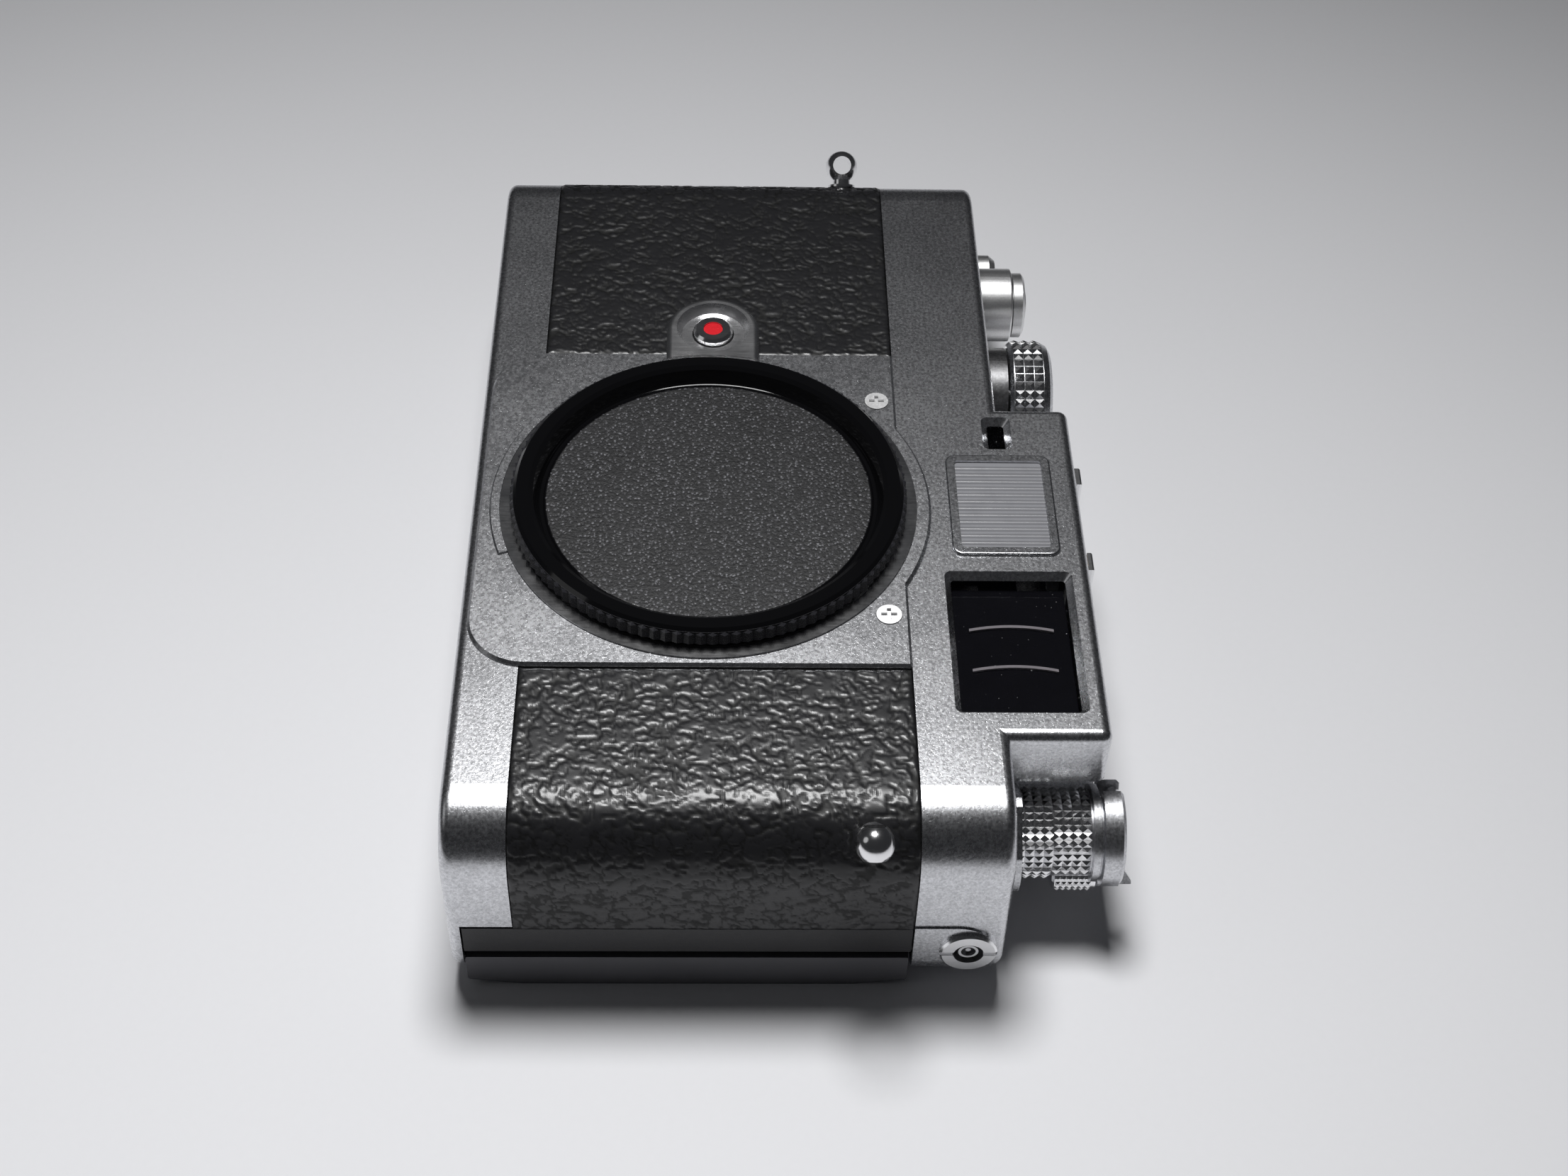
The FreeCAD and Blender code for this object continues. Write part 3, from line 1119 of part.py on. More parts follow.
def make_selector():
    """Small lever that chooses the frame lines."""
    y0 = block_top_y + 0.25
    disc = rod_y(selector_x, selector_z, 2.6, y0, y0 + 1.3)
    tab = prism_y([(selector_x - 1.2, selector_z - 5.4, 0.8), (selector_x + 1.2, selector_z - 5.4, 0.8),
                   (selector_x + 1.8, selector_z, 0), (selector_x - 1.8, selector_z, 0)], y0, y0 + 1.3)
    shaft = rod_y(selector_x, selector_z, 1.5, block_top_y - 2.2, y0 + 0.1)
    return fuse([disc, tab, shaft])


def make_sync_ring():
    x0 = near_x
    boss = rod_x(sync_y, sync_z, sync_r, x0, x0 + 0.9)
    boss = chamfer_edges(boss, 0.25, lambda p, e: abs(p.x - x0 - 0.9) < 0.01)
    neck = rod_x(sync_y, sync_z, sync_neck_r, x0 - 2.0, x0)
    ring = fuse([boss, neck]).cut(rod_x(sync_y, sync_z, 1.95, x0 - 1.5, x0 + 2))
    slots = box(x0 + 0.35, x0 + 2, sync_y - sync_r - 1, sync_y + sync_r + 1, sync_z - 0.35, sync_z + 0.35)
    return ring.cut(slots)


def make_sync_contact():
    x0 = near_x
    tube = rod_x(sync_y, sync_z, 1.3, x0 - 1.5, x0 + 0.5).cut(rod_x(sync_y, sync_z, 0.95, x0 - 1.2, x0 + 2))
    pin = rod_x(sync_y, sync_z, 0.35, x0 - 1.3, x0 + 0.2)
    return fuse([tube, pin])


def group(shapes):
    return Part.makeCompound(shapes)


def main():
    save("chassis", make_chassis())
    save("top_cover", make_top_cover())
    save("bottom_cover", make_bottom_cover())
    save("front_plate", make_front_plate())
    save("covering_rewind_side", covering(True))
    save("covering_release_side", covering(False))
    save("strap_lugs", make_lugs())
    save("lens_mount_ring", make_mount_ring())
    save("front_screws", make_front_screws())
    save("lens_release_shroud", make_shroud())
    save("lens_release_button", make_lens_button())
    save("lens_release_dot", rod_z(lens_button_x, lens_button_y, 1.4, front_z + 1.5, front_z + 1.85))
    save("lock_pin", make_lock_pin())
    save("body_cap", make_cap())
    save("rangefinder_window", glass_behind(rf_window, 1.0))
    save("viewfinder_window", glass_behind(view_window, 1.2))
    save("frame_window_bezel", make_bezel())
    save("frame_window", make_frame_window())
    save("viewfinder_prism", make_prism())
    save("link_prism", make_link_prism())
    save("eyepiece_frame", make_eyepiece())
    save("eyepiece_lens", make_eyepiece_lens())
    save("accessory_shoe", make_shoe())
    save("shoe_base", make_shoe_base())
    save("shoe_contact", make_shoe_contact())
    save("rewind_base", make_rewind_base())
    save("rewind_knob", make_rewind_knob())
    save("rewind_shaft", make_rewind_shaft())
    save("rewind_sleeve", make_rewind_sleeve())
    save("rewind_crank", make_crank())
    save("crank_handle", make_crank_handle())
    save("advance_lever", make_advance_lever())
    save("advance_lever_tip", make_advance_tip())
    save("release_collar", make_release_collar())
    save("release_button", make_release_button())
    save("speed_dial", make_dial())
    save("dial_collar", make_dial_collar())
    save("counter_housing", make_counter_housing())
    save("counter_lens", make_counter_lens())
    save("counter_disc", make_counter_disc())
    save("take_up_spool", make_spool())
    save("film_sprocket", make_sprocket())
    save("film_door", make_door())
    save("door_covering", make_door_cover())
    save("film_window", make_film_window())
    save("pressure_plate", make_pressure_plate())
    save("hinge_pin", rod_y(hinge_x, hinge_z, hinge_pin_r, door_bottom_y + 0.2, upper_edge_y - 0.4))
    save("shutter_frame", make_shutter_frame())
    for i, name in enumerate(("upper", "middle", "lower")):
        save("shutter_blade_" + name, make_blade(i))
    save("roller_arm", make_roller_arm())
    save("roller", make_roller())
    save("rangefinder_mirror", make_mirror())
    save("tripod_bush", make_tripod_bush())
    save("button_cells", make_cells())
    save("battery_cover", make_battery_cover())
    save("rewind_release_button", make_rewind_release())
    save("frame_selector", make_selector())
    save("sync_socket", group([make_sync_ring(), make_sync_contact()]))


if __name__ == "__main__":
    main()
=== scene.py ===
import math

import bpy
from bpy.props import FloatProperty, FloatVectorProperty, IntProperty, PointerProperty
from mathutils import Matrix, Vector, noise


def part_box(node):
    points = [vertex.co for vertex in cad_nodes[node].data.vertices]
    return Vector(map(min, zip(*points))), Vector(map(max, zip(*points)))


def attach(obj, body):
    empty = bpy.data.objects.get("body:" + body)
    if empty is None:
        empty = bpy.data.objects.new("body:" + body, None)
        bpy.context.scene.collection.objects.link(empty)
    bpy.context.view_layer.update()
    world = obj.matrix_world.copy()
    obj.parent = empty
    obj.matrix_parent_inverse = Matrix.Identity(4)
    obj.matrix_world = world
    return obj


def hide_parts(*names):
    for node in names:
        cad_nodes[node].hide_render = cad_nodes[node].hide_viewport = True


bl_info = {
    "name": "Rangefinder Camera Body",
    "version": (1, 0, 0),
    "blender": (4, 5, 0),
    "location": "View3D > Sidebar > Camera Body",
    "description": "Finishes and fine detail for a rangefinder film camera body with its body cap on",
    "category": "Object",
}

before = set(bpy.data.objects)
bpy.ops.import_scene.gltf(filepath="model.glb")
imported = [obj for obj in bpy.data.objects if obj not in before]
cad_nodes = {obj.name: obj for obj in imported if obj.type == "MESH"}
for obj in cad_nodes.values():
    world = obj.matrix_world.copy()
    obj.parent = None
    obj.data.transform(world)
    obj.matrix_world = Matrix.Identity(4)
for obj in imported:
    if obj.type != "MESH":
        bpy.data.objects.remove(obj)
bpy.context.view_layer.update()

MM = 0.001
BODY = "camera_body"


# ---- shader writing -----------------------------------------------------------------------
class Wire:
    """A socket in a material. Arithmetic on it adds Math nodes."""

    def __init__(self, finish, socket):
        self.finish = finish
        self.socket = socket

    def maths(self, operation, first, second):
        return self.finish.node("ShaderNodeMath", {"operation": operation}, {0: first, 1: second})

    def __add__(self, other):
        return self.maths("ADD", self, other)

    def __radd__(self, other):
        return self.maths("ADD", other, self)

    def __sub__(self, other):
        return self.maths("SUBTRACT", self, other)

    def __rsub__(self, other):
        return self.maths("SUBTRACT", other, self)

    def __mul__(self, other):
        return self.maths("MULTIPLY", self, other)

    def __rmul__(self, other):
        return self.maths("MULTIPLY", other, self)

    def __pow__(self, other):
        return self.maths("POWER", self, other)

    def step(self, low, high):
        """0 below low, 1 above high and a smooth rise between."""
        return self.finish.node("ShaderNodeMapRange", {"interpolation_type": "SMOOTHSTEP"},
                                {"Value": self, "From Min": low, "From Max": high})


class Finish:
    """A material built round one Principled shader."""

    def __init__(self, name, **constants):
        self.material = bpy.data.materials.new(name)
        self.material.use_nodes = True
        self.tree = self.material.node_tree
        self.shader = self.tree.nodes["Principled BSDF"]
        for key, value in constants.items():
            self.shader.inputs[key.replace("_", " ")].default_value = value

    def node(self, kind, settings=None, inputs=None, output=0):
        made = self.tree.nodes.new(kind)
        for key, value in (settings or {}).items():
            setattr(made, key, value)
        for key, value in (inputs or {}).items():
            self.feed(made.inputs[key], value)
        return Wire(self, made.outputs[output])

    def feed(self, socket, value):
        if isinstance(value, Wire):
            self.tree.links.new(value.socket, socket)
        else:
            socket.default_value = value

    def to(self, socket_name, value):
        self.feed(self.shader.inputs[socket_name], value)

    def place(self):
        """Position in the camera's own frame, in metres."""
        return self.node("ShaderNodeTexCoord", output="Object")

    def grain(self, size, detail=2.0, rough=0.5, where=None):
        """Soft noise from 0 to 1 whose lumps are about this size in metres."""
        return self.node("ShaderNodeTexNoise", None, {"Vector": where or self.place(), "Scale": 1 / size,
                                                      "Detail": detail, "Roughness": rough})

    def cells(self, size, feature="F1", output="Distance", where=None):
        return self.node("ShaderNodeTexVoronoi", {"feature": feature},
                         {"Vector": where or self.place(), "Scale": 1 / size}, output)

    def stretched(self, x, y, z):
        return self.node("ShaderNodeMapping", None, {"Vector": self.place(), "Scale": (x, y, z)})

    def mix(self, share, low, high):
        """Colour between two colours."""
        return self.node("ShaderNodeMix", {"data_type": "RGBA"}, {0: share, 6: low, 7: high}, 2)

    def bump(self, height, distance, strength=1.0):
        raised = self.node("ShaderNodeBump", None, {"Height": height, "Distance": distance, "Strength": strength})
        self.to("Normal", raised)


def rgb(colour, brightness=1.0):
    return tuple(min(1.0, c * brightness) for c in colour[:3]) + (1.0,)


# ---- finishes -------------------------------------------------------------------------------
def satin_silver(name, colour, roughness=0.27, grain=0.26 * MM, contrast=1.0):
    """Blasted and plated: a fine grain whose random tone in the colour is partly the metal's own grain and partly
    painted sparkle, with faint larger clouds.
    """
    finish = Finish(name, Metallic=1.0)
    speck = finish.cells(grain, output="Color")
    glint = finish.node("ShaderNodeSeparateColor", None, {"Color": speck})
    soft = finish.grain(grain * 1.7, 4.0, 0.7)
    cloud = finish.grain(14 * MM, 3.0)
    # The glint cells put painted sparkle into the colour, mixed with the metal's own random grain.
    tone = (glint * 0.35 + soft.step(0.28, 0.72) * 0.65 - 0.5) * contrast + 0.5
    finish.to("Base Color", finish.mix(tone, rgb(colour, 0.70), rgb(colour, 1.30)))
    finish.to("Roughness", roughness + (soft - 0.5) * 0.16 + (cloud - 0.5) * 0.06)
    finish.bump(tone, 0.010 * MM, 0.6)
    return finish.material


def bright_metal(name, colour, roughness=0.16):
    """Polished plating with hair scratches and finger marks."""
    finish = Finish(name, Metallic=1.0)
    smear = finish.grain(5 * MM, 4.0, 0.6)
    hair = finish.grain(0.25 * MM, 3.0, 0.6, finish.stretched(1.0, 0.08, 1.0))
    finish.to("Base Color", finish.mix(smear, rgb(colour, 0.9), rgb(colour, 1.05)))
    finish.to("Roughness", roughness + (smear - 0.5) * 0.12 + (hair - 0.5) * 0.08)
    finish.bump(hair, 0.002 * MM, 0.5)
    return finish.material


def turned_metal(name, colour, roughness=0.3):
    """Plain turned or rolled metal with fine tool marks across the Y direction."""
    finish = Finish(name, Metallic=1.0)
    lines = finish.grain(0.12 * MM, 3.0, 0.6, finish.stretched(0.15, 1.0, 0.15))
    stain = finish.grain(4 * MM, 3.0)
    finish.to("Base Color", finish.mix(stain, rgb(colour, 0.82), rgb(colour, 1.08)))
    finish.to("Roughness", roughness + (lines - 0.5) * 0.25)
    finish.bump(lines, 0.006 * MM, 0.6)
    return finish.material


def grained_skin(name, colour):
    """Pebbled black covering. The mesh carries the pebbles, and this adds pores, sheen and painted shade that darkens
    the grooves between them.
    """
    finish = Finish(name, Coat_Roughness=0.20, Specular_IOR_Level=0.4)
    height = finish.node("ShaderNodeAttribute", {"attribute_name": "pebble"}, None, "Fac")
    pores = finish.grain(0.16 * MM, 3.0, 0.6)
    wear = finish.grain(9 * MM, 3.0)
    top = height.step(0.15, 0.75)
    # Painted shade: the grooves between the pebbles are darkened in the colour.
    finish.to("Base Color", finish.mix(top, rgb(colour, 0.12), rgb(colour, 1.0)))
    finish.to("Roughness", 0.52 - top * 0.20 + (wear - 0.5) * 0.10 + (pores - 0.5) * 0.12)
    finish.to("Coat Weight", top * 0.12)
    finish.bump(pores, 0.006 * MM, 0.5)
    return finish.material


def pressed_grain(name, colour, pebble):
    """The same covering on a flat panel, where the pebbles are only pressed in lightly and painted shade darkens
    their grooves.
    """
    finish = Finish(name, Coat_Roughness=0.25)
    warp = finish.node("ShaderNodeTexNoise", None, {"Vector": finish.place(), "Scale": 0.8 / pebble}, "Color")
    moved = finish.node("ShaderNodeVectorMath", {"operation": "MULTIPLY_ADD"},
                        {0: warp, 1: (pebble * 0.5,) * 3, 2: finish.place()})
    edge = finish.cells(pebble, "DISTANCE_TO_EDGE", "Distance", moved)
    top = edge.step(0.02, 0.14)
    pores = finish.grain(0.18 * MM, 3.0)
    # Painted shade: the grooves between the pebbles are darkened in the colour.
    finish.to("Base Color", finish.mix(top, rgb(colour, 0.35), rgb(colour, 1.0)))
    finish.to("Roughness", 0.6 - top * 0.2 + (pores - 0.5) * 0.1)
    finish.to("Coat Weight", top * 0.25)
    finish.bump(top + pores * 0.08, 0.12 * MM, 1.0)
    return finish.material


def satin_plastic(name, colour, roughness=0.45, grain=0.16 * MM, depth=0.015 * MM):
    """Moulded black plastic with a fine spark-eroded texture."""
    finish = Finish(name)
    texture = finish.grain(grain, 3.0, 0.6)
    patch = finish.grain(11 * MM, 3.0)
    finish.to("Base Color", finish.mix(patch, rgb(colour, 0.85), rgb(colour, 1.15)))
    finish.to("Roughness", roughness + (texture - 0.5) * 0.2 + (patch - 0.5) * 0.1)
    finish.bump(texture, depth, 0.8)
    return finish.material


def cap_plastic(name, colour, disc_r):
    """Glossy rim round a blasted disc with painted glints: bright specks in its colour stand in for points that catch
    the light.
    """
    finish = Finish(name, Coat_Roughness=0.05, Specular_IOR_Level=0.35)
    axes = finish.node("ShaderNodeSeparateXYZ", None, {"Vector": finish.place()})
    y = Wire(finish, axes.socket.node.outputs["Y"])
    radius = (axes * axes + y * y) ** 0.5
    disc = 1 - radius.step(disc_r - 0.25 * MM, disc_r)
    coarse = finish.cells(0.55 * MM)
    fine = finish.grain(0.30 * MM, 3.0, 0.65)
    glint = (1 - coarse).step(0.50, 0.85) * fine.step(0.46, 0.58)
    patch = finish.grain(9 * MM, 2.0)
    # Painted glints: the glint mask lifts the disc's colour to bright grey in points, standing in for sparkle.
    finish.to("Base Color", finish.mix(disc * (patch * 0.05 + glint * 0.8), rgb(colour, 0.25),
                                       rgb((0.24, 0.24, 0.26))))
    finish.to("Roughness", 0.10 + disc * (0.38 + (fine - 0.5) * 0.3 - glint * 0.2))
    finish.to("Coat Weight", (1 - disc) * 0.4)
    finish.bump(disc * (fine * 0.8 + coarse * 0.5), 0.09 * MM, 1.0)
    return finish.material


def dark_glass(name, colour):
    """Coated finder glass that looks into a black box."""
    finish = Finish(name, IOR=1.25)
    dust = finish.grain(0.38 * MM, 2.0, 0.5).step(0.765, 0.80)
    smear = finish.grain(6 * MM, 3.0)
    finish.to("Base Color", finish.mix(dust, rgb(colour), (0.6, 0.6, 0.62, 1)))
    finish.to("Roughness", 0.03 + dust * 0.5 + smear * 0.04)
    finish.to("Alpha", 0.10 + dust * 0.75)
    return finish.material


def solid_glass(name, colour, roughness=0.04):
    """Glass block seen from outside, painted dark for the shade inside the body, with a faint blue coat."""
    finish = Finish(name, IOR=1.52)
    smear = finish.grain(3 * MM, 3.0)
    finish.to("Base Color", finish.mix(smear, rgb(colour, 0.8), rgb(colour, 1.2)))
    finish.to("Roughness", roughness + smear * 0.03)
    return finish.material


def frosted_glass(name, colour, middle_x, pitch):
    """Ribbed light collector: grey, with painted shade darkening the grooves, and a fine frost on top."""
    finish = Finish(name, IOR=1.45)
    frost = finish.grain(0.12 * MM, 2.0)
    cloud = finish.grain(3 * MM, 3.0)
    along = finish.node("ShaderNodeSeparateXYZ", None, {"Vector": finish.place()})
    wave = finish.node("ShaderNodeMath", {"operation": "PINGPONG"},
                       {0: (along - middle_x) * (1 / pitch) + 40.5, 1: 0.5})
    # Painted shade: the groove mask darkens the colour between the ribs.
    groove = 1 - wave.step(0.0, 0.22)
    finish.to("Base Color", finish.mix(groove * 0.6 + (cloud - 0.5) * 0.5, rgb(colour), rgb(colour, 0.45)))
    finish.to("Roughness", 0.24 + (frost - 0.5) * 0.12)
    finish.bump(frost, 0.004 * MM, 0.5)
    return finish.material


def enamel(name, colour, roughness=0.22):
    """Filled paint with a slight orange peel."""
    finish = Finish(name, Coat_Weight=0.4, Coat_Roughness=0.1)
    peel = finish.grain(0.4 * MM, 2.0)
    finish.to("Base Color", finish.mix(peel, rgb(colour, 0.85), rgb(colour, 1.1)))
    finish.to("Roughness", roughness + peel * 0.08)
    finish.bump(peel, 0.01 * MM, 0.4)
    return finish.material


def seamless_paper(name, colour):
    finish = Finish(name, Roughness=0.7, Specular_IOR_Level=0.2)
    fibre = finish.grain(1.2 * MM, 4.0, 0.6)
    finish.to("Base Color", finish.mix(fibre, rgb(colour, 0.985), rgb(colour, 1.01)))
    finish.bump(fibre, 0.02 * MM, 0.3)
    return finish.material


# ---- mesh writing ---------------------------------------------------------------------------
def add_piece(name, points, faces, material, body, smooth=False):
    mesh = bpy.data.meshes.new(name)
    mesh.from_pydata(points, [], faces)
    mesh.validate()
    mesh.materials.append(material)
    if smooth:
        mesh.shade_smooth()
    piece = bpy.data.objects.new(name, mesh)
    bpy.context.scene.collection.objects.link(piece)
    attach(piece, body)
    return piece


def paint(material, *names):
    """Give carried-over nodes their finish."""
    for name in names:
        mesh = cad_nodes[name].data
        mesh.materials.clear()
        mesh.materials.append(material)


def middle(node):
    low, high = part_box(node)
    return (low + high) / 2


def around_y(x, z):
    return lambda angle, r, along: Vector((x + r * math.cos(angle), along, z + r * math.sin(angle)))


def around_z(x, y):
    return lambda angle, r, along: Vector((x + r * math.cos(angle), y + r * math.sin(angle), along))


def sleeve(spot, levels, angles, radius, inner_r, closed):
    """Points and faces of a thin-walled ring whose outer radius depends on column and level."""
    columns = len(angles)
    rows = len(levels)
    points = [spot(a, radius(i, j), levels[j]) for i, a in enumerate(angles) for j in range(rows)]
    inner = len(points)
    for a in angles:
        points.append(spot(a, inner_r, levels[0]))
        points.append(spot(a, inner_r, levels[-1]))
    faces = []
    for i in range(columns if closed else columns - 1):
        k = (i + 1) % columns
        for j in range(rows - 1):
            a, b, c, d = i * rows + j, k * rows + j, k * rows + j + 1, i * rows + j + 1
            peak_on_ac = (i % 2 == j % 2)
            faces += [(a, b, c), (a, c, d)] if peak_on_ac else [(a, b, d), (b, c, d)]
        low_i, low_k = inner + 2 * i, inner + 2 * k
        faces.append((i * rows, low_i, low_k, k * rows))
        faces.append((low_i, low_i + 1, low_k + 1, low_k))
        faces.append((low_i + 1, i * rows + rows - 1, k * rows + rows - 1, low_k + 1))
    if not closed:
        faces.append(tuple(range(rows)) + (inner + 1, inner))
        last = (columns - 1) * rows
        faces.append((inner + 2 * columns - 2, inner + 2 * columns - 1) + tuple(range(last + rows - 1, last - 1, -1)))
    return points, faces


def pyramid_knurl(spot, r, depth, start, end, teeth, rows, turn=(0.0, 2 * math.pi)):
    """Square pyramids in straight rows, as a sleeve from r up to r + depth."""
    closed = turn[1] - turn[0] > 6.28
    columns = 2 * teeth + (0 if closed else 1)
    angles = [turn[0] + (turn[1] - turn[0]) * i / (2 * teeth) for i in range(columns)]
    levels = [start + (end - start) * j / (2 * rows) for j in range(2 * rows + 1)]
    return sleeve(spot, levels, angles, lambda i, j: r + (depth if i % 2 and j % 2 else 0), r - 0.25 * MM, closed)


def edge_ribs(spot, r, depth, start, end, ribs, chamfer):
    """Straight ribs along the axis with bevelled ends."""
    angles = [math.pi * i / ribs for i in range(2 * ribs)]
    levels = [start, start + chamfer, end - chamfer, end]
    return sleeve(spot, levels, angles, lambda i, j: r + (depth if i % 2 and 0 < j < 3 else 0), r - 0.4 * MM, True)


def slab(outline, low, high, place):
    """A flat plate from a closed outline of (u, v) points, between two heights."""
    count = len(outline)
    points = [place(u, v, low) for u, v in outline] + [place(u, v, high) for u, v in outline]
    faces = [tuple(range(count - 1, -1, -1)), tuple(range(count, 2 * count))]
    faces += [(i, (i + 1) % count, count + (i + 1) % count, count + i) for i in range(count)]
    return points, faces


def gathered(parts):
    """Several (points, faces) as one."""
    points = []
    faces = []
    for some_points, some_faces in parts:
        start = len(points)
        points += some_points
        faces += [tuple(start + i for i in face) for face in some_faces]
    return points, faces


# ---- covering -------------------------------------------------------------------------------
def pebble_height(u, v, size):
    """0 in the grooves and 1 on the flat tops, for a spot on the unrolled covering."""
    spot = Vector((u / size, v / size, 0.37))
    bent = spot + noise.noise_vector(spot * 0.9) * 0.45 + noise.noise_vector(spot * 2.6) * 0.22
    near = noise.voronoi(bent)[0]
    keep = noise.noise(spot * 0.8 + Vector((3.1, 9.4, 2.2)))
    groove = min(1.0, max(0.0, (near[1] - near[0] - 0.02) / 0.17))
    groove = max(groove, min(1.0, max(0.0, (keep - 0.12) / 0.15)))
    crease = abs(noise.noise(spot * 1.7 + Vector((7.1, 3.3, 0.9))))
    branch = min(1.0, max(0.0, (crease - 0.012) / 0.085))
    crown = 1.0 - 0.22 * min(1.0, near[0]) ** 2
    rise = groove * groove * (3 - 2 * groove)
    return min(rise, 0.25 + 0.75 * branch) * crown


def wrap_line(side, flat_end, end_face, low, high, radius, step):
    """(x, z, normal x, normal z) along the covering's section, from the plate to the lower edge."""
    line = []
    corner_x = end_face - side * radius
    corner_z = high - radius
    flat = abs(corner_x - flat_end)
    quarter = radius * math.pi / 2
    total = flat + quarter + corner_z - low
    count = round(total / step)
    for i in range(count + 1):
        s = total * i / count
        if s < flat:
            line.append((flat_end + side * s, high, 0.0, 1.0))
        elif s < flat + quarter:
            angle = (s - flat) / radius
            line.append((corner_x + side * radius * math.sin(angle), corner_z + radius * math.cos(angle),
                         side * math.sin(angle), math.cos(angle)))
        else:
            line.append((end_face, corner_z - (s - flat - quarter), side, 0.0))
    return line


def covering_mesh(node, side, sizes):
    """Pebbled outer face, plain inner face and closed borders."""
    low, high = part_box(node)
    flat_end = low.x if side > 0 else high.x
    end_face = high.x if side > 0 else low.x
    line = wrap_line(side, flat_end, end_face, low.z, high.z, sizes.corner_radius + 0.15 * MM, sizes.skin_step)
    across = round((high.y - low.y) / sizes.skin_step)
    columns = len(line)
    rows = across + 1
    total = sizes.skin_step * (columns - 1)
    points = []
    heights = []
    for i, (x, z, nx, nz) in enumerate(line):
        for j in range(rows):
            y = low.y + (high.y - low.y) * j / across
            rim = min(i, columns - 1 - i, j, across - j) * sizes.skin_step
            edge = min(1.0, rim / (0.5 * MM))
            h = pebble_height(i * sizes.skin_step + side * total, y, sizes.pebble) * (0.4 + 0.6 * edge)
            out = sizes.pebble_depth * (h - 0.85) - 0.12 * MM * (1 - edge)
            points.append((x + nx * out, y, z + nz * out))
            heights.append(h)
    outer = len(points)
    for x, z, nx, nz in line:
        for y in (low.y, high.y):
            points.append((x - nx * 0.9 * MM, y, z - nz * 0.9 * MM))
            heights.append(0.5)
    faces = []
    for i in range(columns - 1):
        a, b = i * rows, (i + 1) * rows
        faces += [(a + j, b + j, b + j + 1, a + j + 1) for j in range(across)]
        c, d = outer + 2 * i, outer + 2 * i + 2
        faces += [(c, c + 1, d + 1, d), (a, c, d, b), (c + 1, a + across, b + across, d + 1)]
    last = (columns - 1) * rows
    faces.append(tuple(range(rows)) + (outer + 1, outer))
    faces.append((outer + 2 * columns - 2, outer + 2 * columns - 1) + tuple(range(last + across, last - 1, -1)))
    if side < 0:
        faces = [tuple(reversed(face)) for face in faces]
    return points, faces, heights


# ---- what a user may change -----------------------------------------------------------------
def colour(name, description, default):
    return FloatVectorProperty(name=name, description=description, default=default, subtype="COLOR",
                               size=3, min=0.0, max=1.0)


def length(name, description, default):
    return FloatProperty(name=name, description=description, default=default, unit="LENGTH", precision=5)


class CAMERA_PG_sizes(bpy.types.PropertyGroup):
    """Sizes of the fine detail."""
    pebble: length("Pebble", "Width of one pebble in the covering", 2.0 * MM)
    pebble_depth: length("Groove depth", "Depth of the grooves between pebbles", 0.15 * MM)
    skin_step: length("Skin step", "Spacing of the points of the covering's mesh", 0.25 * MM)
    corner_radius: length("Corner radius", "Radius of the body's front corners", 9.0 * MM)
    knurl_depth: length("Knurl depth", "Height of the pyramids on the knobs", 0.32 * MM)
    rib_depth: length("Rib depth", "Height of the ribs round the cap", 0.45 * MM)
    cap_ribs: IntProperty(name="Cap ribs", description="Ribs round the body cap", default=110, min=12)
    knob_teeth: IntProperty(name="Knob teeth", description="Pyramids round the rewind knob", default=36, min=8)
    dial_teeth: IntProperty(name="Dial teeth", description="Pyramids round the speed dial", default=42, min=8)


class CAMERA_PG_colours(bpy.types.PropertyGroup):
    """Colours of the finishes."""
    silver: colour("Silver", "Satin plating of the covers", (0.60, 0.605, 0.625))
    chrome: colour("Chrome", "Bright plating of the fittings", (0.88, 0.88, 0.89))
    steel: colour("Steel", "Plain steel inside", (0.45, 0.45, 0.46))
    brass: colour("Brass", "Brass contact and roller", (0.70, 0.50, 0.22))
    skin: colour("Skin", "Pebbled covering", (0.014, 0.014, 0.0155))
    plastic: colour("Plastic", "Door and other black mouldings", (0.12, 0.12, 0.13))
    cap: colour("Cap", "Body cap", (0.012, 0.012, 0.014))
    red: colour("Red", "Dot on the lens release", (0.75, 0.02, 0.03))
    frost: colour("Frost", "Light window of the frame lines", (0.27, 0.272, 0.29))
    paper: colour("Paper", "Floor that the camera lies on", (0.80, 0.803, 0.825))


# ---- pieces ---------------------------------------------------------------------------------
class CameraStep:
    """Shared by the operators below."""
    bl_options = {"REGISTER"}

    def sizes(self):
        return bpy.context.scene.camera_sizes

    def colours(self):
        return bpy.context.scene.camera_colours


class CAMERA_OT_covers(CameraStep, bpy.types.Operator):
    """Finish the plated covers and the front plate"""
    bl_idname = "camera_body.covers"
    bl_label = "Covers"

    def execute(self, context):
        silver = satin_silver("satin silver", self.colours().silver)
        paint(silver, "top_cover", "bottom_cover", "front_plate", "rewind_base")
        return {"FINISHED"}


class CAMERA_OT_covering(CameraStep, bpy.types.Operator):
    """Make the two pebbled coverings and finish the one on the door"""
    bl_idname = "camera_body.covering"
    bl_label = "Covering"

    def execute(self, context):
        skin = grained_skin("pebbled skin", self.colours().skin)
        for node, side in (("covering_rewind_side", 1), ("covering_release_side", -1)):
            points, faces, heights = covering_mesh(node, side, self.sizes())
            piece = add_piece(node + "_pebbled", points, faces, skin, BODY, smooth=True)
            pebble = piece.data.attributes.new("pebble", "FLOAT", "POINT")
            pebble.data.foreach_set("value", heights)
            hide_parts(node)
        paint(pressed_grain("door skin", self.colours().skin, self.sizes().pebble), "door_covering")
        return {"FINISHED"}


